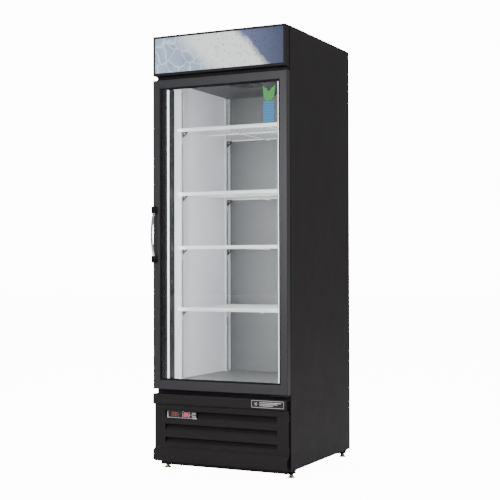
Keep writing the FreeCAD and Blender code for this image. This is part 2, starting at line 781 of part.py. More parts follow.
def pilaster():
    """Right front slotted rail, as a channel with its back open to the wall."""
    y = PILASTER_YS[0]
    half = PILASTER_WIDTH / 2
    low = FLOOR_Z
    high = COVER_Z - PILASTER_DEPTH
    rail = box(PILASTER_X, INNER_X, y - half, y + half, low, high)
    rail = rail.cut(box(PILASTER_X + PILASTER_WALL, INNER_X, y - half + PILASTER_WALL,
                        y + half - PILASTER_WALL, low, high))
    slots = []
    for count in range(SLOT_COUNT):
        z = low + (count + 1) * SLOT_PITCH - SLOT_HEIGHT / 2
        slots.append(box(PILASTER_X, PILASTER_X + PILASTER_WALL, y - SLOT_WIDTH / 2, y + SLOT_WIDTH / 2,
                         z, z + SLOT_HEIGHT))
    return rail.cut(group(slots))


def at_corners(piece):
    """Copies of a right front piece at the four pilasters."""
    rear = moved(piece, y=PILASTER_YS[1] - PILASTER_YS[0])
    return [mirrored(piece), piece, mirrored(rear), rear]


def shelf_tops():
    clear = COVER_Z - FLOOR_Z
    return [FLOOR_Z + round(place * clear / SLOT_PITCH) * SLOT_PITCH + PILASTER_WALL for place in SHELF_PLACES]


def shelf_seat(top):
    """Height of the underside that lies on the clips."""
    return top - SHELF_WIRE - SHELF_ROD + WIRE_WELD


def shelf_clip(top):
    """Right front clip: an open triangle with a hook through a pilaster slot."""
    y = PILASTER_YS[0]
    seat = shelf_seat(top) - MOVING_CLEAR / 2
    x = PILASTER_X
    outer = [(x, seat), (x - CLIP_REACH, seat), (x - CLIP_REACH, seat - CLIP_BAR), (x, seat - CLIP_HEIGHT)]
    plate = prism([(px, y - CLIP_WALL / 2, pz) for px, pz in outer], at(0, CLIP_WALL, 0))
    inner = [(x - CLIP_BAR, seat - CLIP_BAR), (x - CLIP_REACH + 2 * CLIP_BAR, seat - CLIP_BAR),
             (x - CLIP_BAR, seat - CLIP_HEIGHT + 2 * CLIP_BAR)]
    window = prism([(px, y - CLIP_WALL, pz) for px, pz in inner], at(0, 2 * CLIP_WALL, 0))
    slot = FLOOR_Z + math.floor((seat - CLIP_BAR - FLOOR_Z) / SLOT_PITCH) * SLOT_PITCH
    hook = box(x, x + 2 * PILASTER_WALL, y - CLIP_WALL / 2, y + CLIP_WALL / 2,
               slot - SLOT_HEIGHT / 2 + MOVING_CLEAR, slot + SLOT_HEIGHT / 2 - MOVING_CLEAR)
    return fuse(plate.cut(window), hook)


def shelf_clips():
    return group([clip for top in shelf_tops() for clip in at_corners(shelf_clip(top))])


def shelf_wires(strip_back):
    """Thin wires that run from the front strip past the rear cross rod."""
    radius = SHELF_WIRE / 2
    count = int((2 * SHELF_HALF - SHELF_ROD) / WIRE_PITCH)
    first = -(count - 1) * WIRE_PITCH / 2
    run = SHELF_BACK - strip_back + WIRE_WELD
    return [rod(radius, run, at(first + index * WIRE_PITCH, strip_back - WIRE_WELD, -radius), Y_AXIS)
            for index in range(count)]


def shelf_rods(strip_back):
    """Two side rods, three cross rods and two lower support rods."""
    thick = SHELF_ROD / 2
    thin = thick - WIRE_WELD / 2
    level = -SHELF_WIRE - thick + WIRE_WELD
    side_x = SHELF_HALF - SHELF_ROD
    run = SHELF_BACK - strip_back - thick / 2
    rods = []
    for y in (strip_back + 3 * WIRE_PITCH, (SHELF_FRONT + SHELF_BACK) / 2, SHELF_BACK - 2 * SHELF_ROD):
        rods.append(rod(thin, 2 * side_x, at(-side_x, y, level + thick - thin), X_AXIS))
    for x in (-side_x, side_x):
        rods.append(rod(thick, run, at(x, strip_back - WIRE_WELD, level), Y_AXIS))
    lower = level - thick - thin + WIRE_WELD
    for x in (SUPPORT_OFFSET, SUPPORT_OFFSET - SUPPORT_PITCH):
        rods.append(rod(thin, run, at(x, strip_back - WIRE_WELD, lower), Y_AXIS))
    return rods


def shelf():
    """Welded wire shelf with a flat front strip and two small tabs; its top is at z = 0."""
    strip = box(-SHELF_HALF, SHELF_HALF, SHELF_FRONT, SHELF_FRONT + SHELF_STRIP_WALL, -SHELF_STRIP, 0)
    strip_back = SHELF_FRONT + SHELF_STRIP_WALL
    tab = SHELF_ROD * TAB_SHARE
    tabs = [box(x - tab, x + tab, SHELF_FRONT, strip_back, -SHELF_STRIP - tab, -SHELF_STRIP)
            for x in (SUPPORT_OFFSET, SUPPORT_OFFSET - SUPPORT_PITCH)]
    return fuse(strip, *shelf_wires(strip_back), *shelf_rods(strip_back), *tabs)


# ---- lighting ----

def led_front():
    return FACE_Y + BREAKER_WALL + LED_LENS_WALL


def led_holder():
    """Right black light rail in the cabinet mouth, with a step in its front for the lens."""
    low = MOUTH_LOW + LED_MARGIN
    high = MOUTH_TOP - LED_MARGIN
    front = led_front() + LED_LENS_WALL
    inner = MOUTH_X - LED_REACH
    rail = box(inner, INNER_X, front, front + LED_DEPTH, low, high)
    foot = box(INNER_X, MOUTH_X, front, INNER_FRONT, low, high)
    rim = box(inner, inner + LED_STEP, front - LED_LENS_WALL, front, low, high)
    return fuse(rail, foot, rim)


def led_lens():
    low = MOUTH_LOW + LED_MARGIN
    high = MOUTH_TOP - LED_MARGIN
    start = MOUTH_X - LED_REACH + LED_STEP
    lens = box(start, start + LED_LENS, led_front(), led_front() + LED_LENS_WALL, low, high)
    front = [edge for edge in lens.Edges if edge.BoundBox.YMax < led_front() + LINER / 2]
    return lens.makeFillet(LINER, front)


# ---- cold side, above the shelves ----

def fan_centre():
    return at(0, INNER_FRONT + EVAP_FAN_SETBACK, 0)


def evaporator_cover():
    """Ceiling sheet with the fan opening and its wire guard rings."""
    half = INNER_X - MOVING_CLEAR
    front = INNER_FRONT + MOVING_CLEAR
    back = INNER_BACK - COVER_REAR_GAP
    cover = box(-half, half, front, back, COVER_Z, COVER_Z + COVER_WALL)
    centre = fan_centre()
    start = at(centre.x, centre.y, COVER_Z)
    cover = cover.cut(rod(EVAP_FAN_RADIUS, COVER_WALL, start, Z_AXIS))
    guard = []
    for share in GUARD_SHARES:
        radius = EVAP_FAN_RADIUS * share
        guard.append(ring(radius + COVER_WALL, radius - COVER_WALL, COVER_WALL, start, Z_AXIS))
    reach = EVAP_FAN_RADIUS + COVER_WALL
    wall = COVER_WALL
    guard.append(box(-reach, reach, centre.y - wall, centre.y + wall, COVER_Z, COVER_Z + wall))
    guard.append(box(-wall, wall, centre.y - reach, centre.y + reach, COVER_Z, COVER_Z + wall))
    return fuse(cover, *guard)


def fan_blades(radius, hub_radius, height):
    """Axial fan about Z at the origin: a hub with pitched flat blades."""
    hub = rod(hub_radius, height, at(0, 0, -height / 2), Z_AXIS)
    hub = hub.cut(rod(SHAFT_RADIUS + PIN_CLEAR, height, at(0, 0, -height / 2), Z_AXIS))
    trim = rod(radius, 4 * height, at(0, 0, -2 * height), Z_AXIS)
    limit = rod(hub_radius - BLADE_WALL / 2, 4 * height, at(0, 0, -2 * height), Z_AXIS)
    half = BLADE_CHORD_SHARE * hub_radius / 2
    blades = []
    for index in range(BLADE_COUNT):
        blade = box(hub_radius - BLADE_WALL, radius, -half, half, -BLADE_WALL / 2, BLADE_WALL / 2)
        blade.rotate(at(0, 0, 0), X_AXIS, BLADE_PITCH)
        blade.rotate(at(0, 0, 0), Z_AXIS, 360.0 * index / BLADE_COUNT)
        blades.append(blade.common(trim).cut(limit))
    return fuse(hub, *blades)


def fan_motor(radius, length, shaft_length):
    """Motor body behind the fan: can, then a shaft pointing to -Z from the origin."""
    can = rod(radius, length, at(0, 0, 0), Z_AXIS)
    rim = [edge for edge in can.Edges if edge.BoundBox.ZMin > length / 2]
    can = can.makeFillet(MOTOR_ROUND, rim)
    shaft = rod(SHAFT_RADIUS, shaft_length, at(0, 0, -shaft_length), Z_AXIS)
    return fuse(can, shaft)


def evap_fan_height():
    return COVER_Z + COVER_WALL + EVAP_FAN_LIFT


def evaporator_fan_blade():
    centre = fan_centre()
    blade = fan_blades(EVAP_FAN_RADIUS - FAN_TIP_CLEAR, EVAP_HUB_RADIUS, EVAP_HUB_HEIGHT)
    return moved(blade, centre.x, centre.y, evap_fan_height())


def evaporator_fan_motor():
    """Motor on a cross bar that stands on the cover."""
    centre = fan_centre()
    motor = fan_motor(EVAP_MOTOR_RADIUS, EVAP_MOTOR_LENGTH, EVAP_MOTOR_LIFT + EVAP_HUB_HEIGHT * 3 / 4)
    base = evap_fan_height() + EVAP_MOTOR_LIFT
    motor = moved(motor, centre.x, centre.y, base)
    reach = EVAP_FAN_RADIUS + EVAP_BAR_OVERLAP
    half = EVAP_BAR_WIDTH / 2
    bar_z = base + EVAP_BAR_OVERLAP
    bar = box(-reach, reach, centre.y - half, centre.y + half, bar_z, bar_z + COVER_WALL)
    leg = box(reach - COVER_WALL, reach, centre.y - half, centre.y + half, COVER_Z + COVER_WALL, bar_z)
    return fuse(motor, bar, leg, mirrored(leg))


def fin_pack(width, depth, height):
    """Finned coil, centred on the origin in X, from y = 0 and z = 0 up."""
    pack = box(-width / 2, width / 2, 0, depth, 0, height)
    count = int((width - 2 * FIN_WALL) / FIN_PITCH)
    first = -count * FIN_PITCH / 2 + FIN_WALL / 2
    gap = FIN_PITCH - FIN_WALL
    core = depth * CORE_SHARE
    cuts = []
    for index in range(count):
        x = first + index * FIN_PITCH
        cuts.append(box(x, x + gap, 0, core, 0, height))
        cuts.append(box(x, x + gap, depth - core, depth, 0, height))
    return pack.cut(group(cuts))


def coil_bends(side_x, y, first_z, rows, pitch, way):
    """Return bends that stand out of one end plate of a finned coil."""
    bends = []
    inner = side_x - way
    outer = side_x + way * 2 * pitch
    for index in range(rows):
        low = first_z + index * 2 * pitch
        bend = Part.makeTorus(pitch / 2, COIL_TUBE, at(side_x, y, low + pitch / 2), Y_AXIS)
        keep = box(min(inner, outer), max(inner, outer), y - pitch, y + pitch, low - pitch, low + 2 * pitch)
        bends.append(bend.common(keep))
    return bends


def finned_coil(width, depth, height, rows):
    pack = fin_pack(width, depth, height)
    pitch = height / (2 * rows + 1)
    right = coil_bends(width / 2, depth / 2, pitch, rows, pitch, 1)
    left = coil_bends(-width / 2, depth / 2, pitch, rows, pitch, -1)
    return fuse(pack, *right, *left)


def evaporator_coil():
    coil = finned_coil(EVAP_COIL_WIDTH, EVAP_COIL_DEPTH, EVAP_COIL_HEIGHT, EVAP_ROWS)
    front = INNER_BACK - COVER_REAR_GAP - EVAP_COIL_DEPTH - EVAP_COIL_GAP
    return moved(coil, y=front, z=COVER_Z + COVER_WALL + EVAP_COIL_LIFT)


# ---- machine compartment ----

def condenser_place():
    return CONDENSER_MIDDLE, FACE_Y + CONDENSER_SETBACK, BASE_Z + BASE_WALL + CONDENSER_LIFT


def condenser_coil():
    x, y, z = condenser_place()
    coil = finned_coil(CONDENSER_WIDTH, CONDENSER_DEPTH, CONDENSER_HEIGHT, CONDENSER_ROWS)
    return moved(coil, x, y, z)


def condenser_fan_centre():
    x, y, z = condenser_place()
    return at(x, y + CONDENSER_DEPTH + COND_FAN_SETBACK, z + CONDENSER_HEIGHT / 2)


def condenser_shroud():
    """Sheet box behind the coil with a round fan opening."""
    x, y, z = condenser_place()
    half = CONDENSER_WIDTH / 2
    front = y + CONDENSER_DEPTH
    back = front + SHROUD_DEPTH
    top = z + CONDENSER_HEIGHT
    outer = box(x - half, x + half, front, back, z, top)
    hollow = box(x - half + SHEET, x + half - SHEET, front, back - SHEET, z + SHEET, top - SHEET)
    centre = condenser_fan_centre()
    hole = rod(COND_FAN_RADIUS + SHROUD_CLEAR, SHROUD_DEPTH, at(centre.x, front, centre.z), Y_AXIS)
    return outer.cut(hollow).cut(hole)


def condenser_fan_blade():
    blade = fan_blades(COND_FAN_RADIUS - COND_FAN_TIP_CLEAR, COND_HUB_RADIUS, COND_HUB_HEIGHT)
    blade.rotate(at(0, 0, 0), X_AXIS, 90)
    centre = condenser_fan_centre()
    return moved(blade, centre.x, centre.y, centre.z)


def condenser_fan_motor():
    """Motor on a flat post that stands on the base pan."""
    motor = fan_motor(COND_MOTOR_RADIUS, COND_MOTOR_LENGTH, COND_MOTOR_RADIUS)
    motor.rotate(at(0, 0, 0), X_AXIS, -90)
    centre = condenser_fan_centre()
    front = centre.y + COND_MOTOR_GAP
    motor = moved(motor, centre.x, front, centre.z)
    foot = BASE_Z + BASE_WALL
    half = POST_WIDTH / 2
    near = front + POST_SETBACK
    post = box(centre.x - half, centre.x + half, near, near + POST_WALL, foot, centre.z)
    base = box(centre.x - half, centre.x + half, near, near + POST_FOOT, foot, foot + POST_WALL)
    return fuse(motor, post, base)


def compressor_place():
    return at(HALF - COMPRESSOR_SIDE_GAP, BACK_Y - COMPRESSOR_REAR_GAP, BASE_Z + BASE_WALL)


def compressor():
    """Hollow welded can on a flat plate, with four rubber mounts under its corners."""
    place = compressor_place()
    plate_z = place.z + MOUNT_HEIGHT
    radius = COMPRESSOR_RADIUS
    half_x = PLATE_LENGTH / 2
    half_y = PLATE_DEPTH / 2
    can = rod(radius, COMPRESSOR_HEIGHT, at(place.x, place.y, plate_z + PLATE_WALL / 2), Z_AXIS)
    rims = [edge for edge in can.Edges if edge.Closed and edge.BoundBox.ZLength < 1]
    can = can.makeFillet(COMPRESSOR_ROUND, rims)
    seam = rod(radius + SEAM_REACH, SEAM_HEIGHT, at(place.x, place.y, plate_z + SEAM_LIFT), Z_AXIS)
    plate = box(place.x - half_x, place.x + half_x, place.y - half_y, place.y + half_y,
                plate_z, plate_z + PLATE_WALL)
    relay = box(place.x - radius - RELAY_REACH, place.x - radius + RELAY_BITE,
                place.y - RELAY_WIDTH / 2, place.y + RELAY_WIDTH / 2,
                plate_z + RELAY_LIFT, plate_z + RELAY_LIFT + RELAY_HEIGHT)
    hollow = rod(radius - COMPRESSOR_WALL, COMPRESSOR_HEIGHT, at(place.x, place.y, plate_z), Z_AXIS)
    mount_x = half_x - MOUNT_INSET
    mount_y = half_y - MOUNT_INSET
    mounts = [rod(MOUNT_RADIUS, MOUNT_HEIGHT, at(place.x + dx, place.y + dy, place.z), Z_AXIS)
              for dx in (-mount_x, mount_x) for dy in (-mount_y, mount_y)]
    return group([fuse(can, seam, plate, relay).cut(hollow)] + mounts)


def compressor_top():
    return compressor_place().z + MOUNT_HEIGHT + PLATE_WALL / 2 + COMPRESSOR_HEIGHT


def refrigerant_lines():
    """Copper lines: compressor to condenser, and drier to the cold side."""
    place = compressor_place()
    cx, cy, cz = condenser_place()
    top = compressor_top()
    side = cx + CONDENSER_WIDTH / 2 + LINE_SIDE_GAP
    high = top + LINE_RISE
    near = cy + LINE_DROP
    hot = tube([(place.x, place.y, top), (place.x, place.y, high), (side, place.y, high),
                (side, near, high), (side, near, cz + LINE_DROP)], COIL_TUBE, LINE_BEND)
    drier = drier_place()
    neck_top = drier.z + DRIER_LENGTH + 2 * DRIER_NECK
    level = top + CAPILLARY_RISE
    back = drier.y + CAPILLARY_RUN
    cold = tube([(drier.x, drier.y, neck_top), (drier.x, drier.y, level), (drier.x, back, level),
                 (drier.x, back, MACHINE_TOP - PANEL)], CAPILLARY_RADIUS, LINE_BEND)
    return group([hot, filter_drier(), cold])


def drier_place():
    return at(-HALF + DRIER_SIDE_GAP, FACE_Y + DRIER_SETBACK, BASE_Z + DRIER_LIFT)


def filter_drier():
    place = drier_place()
    body = rod(DRIER_RADIUS, DRIER_LENGTH, at(place.x, place.y, place.z + DRIER_NECK), Z_AXIS)
    rims = [edge for edge in body.Edges if edge.Closed and edge.BoundBox.ZLength < 1]
    body = body.makeFillet(DRIER_ROUND, rims)
    neck = rod(COIL_TUBE, DRIER_LENGTH + 2 * DRIER_NECK, place, Z_AXIS)
    return fuse(body, neck)


def condensate_pan():
    """Open tray on the base, at the left rear."""
    x0 = -HALF + TRAY_SIDE_GAP
    x1 = x0 + TRAY_LENGTH
    y1 = BACK_Y - TRAY_REAR_GAP
    y0 = y1 - TRAY_DEPTH
    z0 = BASE_Z + BASE_WALL
    z1 = z0 + TRAY_HEIGHT
    tray = box(x0, x1, y0, y1, z0, z1)
    return tray.cut(box(x0 + TRAY_WALL, x1 - TRAY_WALL, y0 + TRAY_WALL, y1 - TRAY_WALL, z0 + TRAY_WALL, z1))


def electrical_box():
    """Folded box beside the condenser for the relay, terminals and controller wiring."""
    x0 = -HALF + CASE_SIDE_GAP
    y0 = FACE_Y + CASE_SETBACK
    z0 = BASE_Z + BASE_WALL
    case = box(x0, x0 + CASE_WIDTH, y0, y0 + CASE_DEPTH, z0, z0 + CASE_HEIGHT)
    uprights = [edge for edge in case.Edges if edge.BoundBox.ZLength > CASE_HEIGHT / 2]
    case = case.makeFillet(CASE_ROUND, uprights)
    wall = CASE_WALL
    return case.cut(box(x0 + wall, x0 + CASE_WIDTH - wall, y0 + wall, y0 + CASE_DEPTH - wall,
                        z0, z0 + CASE_HEIGHT - wall))


def rear_grille():
    """Slotted sheet over the back of the machine space, set inside the skin."""
    inner = HALF - PANEL - MOVING_CLEAR
    back = BACK_Y - BASE_WALL
    low = BASE_Z + BASE_FLANGE + MOVING_CLEAR
    high = MACHINE_TOP - PANEL - MOVING_CLEAR
    sheet = box(-inner, inner, back - SHEET, back, low, high)
    first = -VENT_SPACING * (VENT_COLUMNS - 1) / 2 - VENT_LENGTH / 2 - POWER_SIDE_GAP
    slots = []
    for column in range(VENT_COLUMNS):
        x = first + column * VENT_SPACING
        for row in range(VENT_ROWS):
            z = low + VENT_FIRST + row * VENT_PITCH
            slots.append(box(x, x + VENT_LENGTH, back - SHEET, back, z, z + VENT_HEIGHT))
    port = rod(POWER_RADIUS, SHEET, at(power_x(), back - SHEET, power_z()), Y_AXIS)
    return sheet.cut(group(slots)).cut(port)


def power_x():
    return HALF - POWER_SIDE_GAP


def power_z():
    return BASE_Z + POWER_LIFT


def power_inlet():
    """Strain-relief bush in the rear grille, where the supply cord enters."""
    back = BACK_Y - BASE_WALL
    start = at(power_x(), back - POWER_LENGTH, power_z())
    body = rod(POWER_RADIUS - SEAT_CLEAR, POWER_LENGTH, start, Y_AXIS)
    collar = rod(POWER_RADIUS + POWER_COLLAR, BASE_WALL, at(power_x(), back, power_z()), Y_AXIS)
    return fuse(body, collar).cut(rod(CORD_RADIUS, POWER_LENGTH + BASE_WALL, start, Y_AXIS))


# ---- front grille ----

def grille_outline(inset):
    """Front profile of the grille: flat bands above and below a set-back middle."""
    low = GRILLE_Z
    high = GRILLE_Z + GRILLE_HEIGHT
    front = GRILLE_FRONT + inset
    middle = GRILLE_MID + inset
    back = FACE_Y - GRILLE_GAP_BEHIND
    return [
        (back, high - inset),
        (front, high - inset),
        (front, high - BAND_TOP + inset / 2),
        (middle, high - BAND_TOP - BAND_SLOPE_TOP + inset / 2),
        (middle, low + BAND_BOTTOM + BAND_SLOPE_BOTTOM - inset / 2),
        (front, low + BAND_BOTTOM - inset / 2),
        (front, low + BAND_EDGE),
        (front + BAND_EDGE - inset, low + inset),
        (back, low + inset),
    ]


def grille_block(half, inset):
    points = [(-half, y, z) for y, z in grille_outline(inset)]
    return prism(points, at(2 * half, 0, 0))


def louvre_tops():
    return [LOUVRE_TOP - index * LOUVRE_PITCH for index in range(LOUVRE_COUNT)]


def louvre_void(top):
    half = LOUVRE_WIDTH / 2
    return box(-half, half, GRILLE_MID, GRILLE_MID + SHEET, top - LOUVRE_HEIGHT, top)


def louvre_blade(top):
    """Blade that leans back from the lower edge of its opening, with open ends."""
    half = LOUVRE_WIDTH / 2
    low = top - LOUVRE_HEIGHT
    back = GRILLE_MID + SHEET + LOUVRE_DEPTH
    slope = [(GRILLE_MID, low), (GRILLE_MID + SHEET, low), (back, top), (back - SHEET, top)]
    return prism([(-half, y, z) for y, z in slope], at(2 * half, 0, 0))


def control_cutout():
    """Space for the controller at the left end of the top louvre."""
    half = BEZEL_WIDTH / 2 + SEAT_CLEAR
    tall = BEZEL_HEIGHT / 2 + SEAT_CLEAR
    return box(CONTROL_X - half, CONTROL_X + half, GRILLE_FRONT, FACE_Y, CONTROL_Z - tall, CONTROL_Z + tall)


def grille_posts():
    """Welded posts that hold the grille off the cabinet face."""
    right = HALF - GRILLE_POST_GAP
    back_of_sheet = GRILLE_MID + SHEET / 2
    posts = []
    for z in (GRILLE_Z + GRILLE_POST_LIFT, GRILLE_Z + GRILLE_HEIGHT - GRILLE_POST_LIFT - GRILLE_POST_HEIGHT):
        post = box(right - GRILLE_POST_WIDTH, right, back_of_sheet, FACE_Y, z, z + GRILLE_POST_HEIGHT)
        posts += [post, mirrored(post)]
    return posts


def front_grille():
    """Folded sheet, open at both ends and behind, with leaning blades in its openings."""
    shell = grille_block(HALF, 0).cut(grille_block(HALF, SHEET))
    shell = shell.cut(group([louvre_void(top) for top in louvre_tops()]))
    shell = fuse(shell, *[louvre_blade(top) for top in louvre_tops()], *grille_posts())
    return shell.cut(control_cutout())


def badge_plate():
    right = HALF - BADGE_EDGE
    middle = GRILLE_Z + GRILLE_HEIGHT - BAND_TOP / 2
    half = BADGE_HEIGHT / 2
    plate = box(right - BADGE_WIDTH, right, GRILLE_FRONT - SHEET, GRILLE_FRONT, middle - half, middle + half)
    corners = [edge for edge in plate.Edges if edge.BoundBox.YLength > SHEET / 2]
    return plate.makeFillet(BADGE_ROUND, corners)


# ---- controller ----

def control_front():
    return GRILLE_MID - BEZEL_PROUD


def display_x():
    return CONTROL_X - BEZEL_WIDTH / 2 + DISPLAY_MARGIN + DISPLAY_WIDTH / 2


def rocker_x():
    return CONTROL_X + ROCKER_OFFSET


def key_places():
    x = CONTROL_X + BEZEL_WIDTH / 2 - KEY_MARGIN
    return [(x, CONTROL_Z + KEY_OFFSET), (x, CONTROL_Z - KEY_OFFSET)]


def window(x, z, width, height, depth):
    front = control_front()
    return box(x - width / 2, x + width / 2, front, front + depth, z - height / 2, z + height / 2)


def controller_bezel():
    """Moulded face with a display window, a rocker opening and two key openings."""
    case = window(CONTROL_X, CONTROL_Z, BEZEL_WIDTH, BEZEL_HEIGHT, BEZEL_DEPTH)
    front = [edge for edge in case.Edges if edge.BoundBox.YMax < control_front() + GLASS_CLEAR]
    case = case.makeFillet(LINER, front)
    case = case.cut(window(display_x(), CONTROL_Z, DISPLAY_WIDTH, DISPLAY_HEIGHT, DISPLAY_DEPTH))
    clear = 2 * MOVING_CLEAR
    case = case.cut(window(rocker_x(), CONTROL_Z, ROCKER_WIDTH + clear, ROCKER_HEIGHT + clear, BEZEL_DEPTH))
    for x, z in key_places():
        case = case.cut(window(x, z, KEY_WIDTH + clear, KEY_HEIGHT + clear, BEZEL_DEPTH))
    return case


def controller_display():
    width = DISPLAY_WIDTH - MOVING_CLEAR
    height = DISPLAY_HEIGHT - MOVING_CLEAR
    lens = window(display_x(), CONTROL_Z, width, height, DISPLAY_DEPTH)
    return lens.cut(window(display_x(), CONTROL_Z, DISPLAY_WIDTH, DISPLAY_HEIGHT, LINER))


def controller_key(index):
    x, z = key_places()[index]
    key = window(x, z, KEY_WIDTH, KEY_HEIGHT, KEY_DEPTH)
    key = moved(key, y=-KEY_TRAVEL - MOVING_CLEAR)
    front = [edge for edge in key.Edges if edge.BoundBox.YMax < control_front() - KEY_TRAVEL]
    return key.makeFillet(LINER, front)


def rocker_switch():
    """Rocker held at its rest side; it turns about an upright pin."""
    radius = ROCKER_WIDTH / 2
    pivot = at(rocker_x(), control_front() + ROCKER_PIVOT, CONTROL_Z)
    half = ROCKER_HEIGHT / 2
    low = pivot.z - half
    drum = rod(radius, ROCKER_HEIGHT, at(pivot.x, pivot.y, low), Z_AXIS)
    rise = math.tan(math.radians(ROCKER_ANGLE)) * radius / 2
    outline = [(-radius, -ROCKER_REACH - rise), (0, -ROCKER_REACH + rise), (radius, -ROCKER_REACH - rise),
               (radius, radius), (-radius, radius)]
    block = prism([(pivot.x + x, pivot.y + y, low) for x, y in outline], at(0, 0, ROCKER_HEIGHT))
    behind = box(pivot.x - radius, pivot.x + radius, pivot.y + ROCKER_BACK, pivot.y + radius,
                 low, low + ROCKER_HEIGHT)
    rocker = drum.common(block).cut(behind)
    rocker.rotate(pivot, Z_AXIS, -ROCKER_ANGLE)
    return rocker


# ---- levelling feet ----

def foot_places():
    xs = (-HALF + FOOT_INSET, HALF - FOOT_INSET)
    ys = (FACE_Y + FOOT_SETBACK, BACK_Y - FOOT_REAR_SETBACK)
    return [(x, y) for y in ys for x in xs]


def levelling_foot(x, y):
    """Round pad, hexagon and threaded stem."""
    pad = Part.makeCone(FOOT_PAD, FOOT_PAD - FOOT_TAPER, FOOT_PAD_HEIGHT, at(x, y, 0), Z_AXIS)
    corners = [math.radians(60 * index) for index in range(6)]
    hexagon = [(x + FOOT_NUT * math.cos(turn), y + FOOT_NUT * math.sin(turn), FOOT_PAD_HEIGHT)
               for turn in corners]
    nut = prism(hexagon, at(0, 0, FOOT_NUT_HEIGHT))
    length = FOOT_HEIGHT - FOOT_PAD_HEIGHT - FOOT_STEM_TOP
    stem = rod(FOOT_STEM, length, at(x, y, FOOT_PAD_HEIGHT), Z_AXIS)
    return fuse(pad, nut, stem)


# ---- fasteners ----

def screw(x, y, z):
    """Low round head on a rear face, with a cross recess."""
    head = rod(SCREW_RADIUS, SCREW_HEAD, at(x, y, z), Y_AXIS)
    arm = SCREW_RADIUS * 0.6
    half = SCREW_HEAD / 4
    depth = y + SCREW_HEAD / 2
    wide = box(x - arm, x + arm, depth, y + SCREW_HEAD, z - half, z + half)
    tall = box(x - half, x + half, depth, y + SCREW_HEAD, z - arm, z + arm)
    return head.cut(wide).cut(tall)


def cabinet_screws():
    """Screws along both sides of the back panel and the rear grille."""
    x = HALF - SCREW_INSET
    panel_zs = (MACHINE_TOP + 3 * SCREW_INSET, (MACHINE_TOP + TOP_Z) / 2, TOP_Z - 3 * SCREW_INSET)
    grille_zs = (BASE_Z + 5 * SCREW_INSET, MACHINE_TOP - 3 * SCREW_INSET)
    screws = [screw(side * x, BACK_Y, z) for z in panel_zs for side in (-1, 1)]
    screws += [screw(side * x, BACK_Y - BASE_WALL, z) for z in grille_zs for side in (-1, 1)]
    return group(screws)


# ---- all sub-parts ----

os.makedirs("parts", exist_ok=True)
save("side_panel_left", mirrored(side_panel()))
save("side_panel_right", side_panel())
save("back_panel", back_panel())
save("top_panel", top_panel())
save("cross_rail", cross_rail())
save("base_pan", base_pan())
save("liner_panels", liner_panels())
save("foam_insulation", foam_insulation())
save("breaker_strips", breaker_strips())
save("header_housing", header_housing())
save("header_sign", header_sign())
save("header_lamp", header_lamp())
save("door_stile_left", stile_left())
save("door_stile_right", stile_right())
save("door_rail_top", rail_top())
save("door_rail_bottom", rail_bottom())
save("glass_panes", glass_panes())
save("glass_spacer", glass_spacer())
save("door_gasket", door_gasket())
save("hinge_bushes", hinge_bushes())
save("closing_rod", closing_rod())
save("hinge_brackets", hinge_brackets())
save("hinge_pins", hinge_pins())
save("door_handle", door_handle())
save("handle_mounts", handle_mounts())
save("pilasters", group(at_corners(pilaster())))
save("shelf_clips", shelf_clips())
save("cabinet_screws", cabinet_screws())
one_shelf = shelf()
for number, top in enumerate(reversed(shelf_tops()), 1):
    save("shelf_" + str(number), moved(one_shelf, z=top))
save("led_holders", group([mirrored(led_holder()), led_holder()]))
save("led_lenses", group([mirrored(led_lens()), led_lens()]))
save("evaporator_cover", evaporator_cover())
save("evaporator_coil", evaporator_coil())
save("evaporator_fan_motor", evaporator_fan_motor())
save("evaporator_fan_blade", evaporator_fan_blade())
save("condenser_coil", condenser_coil())
save("condenser_shroud", condenser_shroud())
save("condenser_fan_motor", condenser_fan_motor())
save("condenser_fan_blade", condenser_fan_blade())
save("compressor", compressor())
save("refrigerant_lines", refrigerant_lines())
save("condensate_pan", condensate_pan())
save("electrical_box", electrical_box())
save("rear_grille", rear_grille())
save("power_inlet", power_inlet())
save("front_grille", front_grille())
save("badge_plate", badge_plate())
save("controller_bezel", controller_bezel())
save("controller_display", controller_display())
save("controller_key_up", controller_key(0))
save("controller_key_down", controller_key(1))
save("rocker_switch", rocker_switch())
for place, (x, y) in zip(("front_left", "front_right", "rear_left", "rear_right"), foot_places()):
    save("foot_" + place, levelling_foot(x, y))
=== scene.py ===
import json
import math

import bmesh
import bpy
from bpy.props import FloatProperty, FloatVectorProperty, IntProperty, PointerProperty
from mathutils import Matrix, Vector


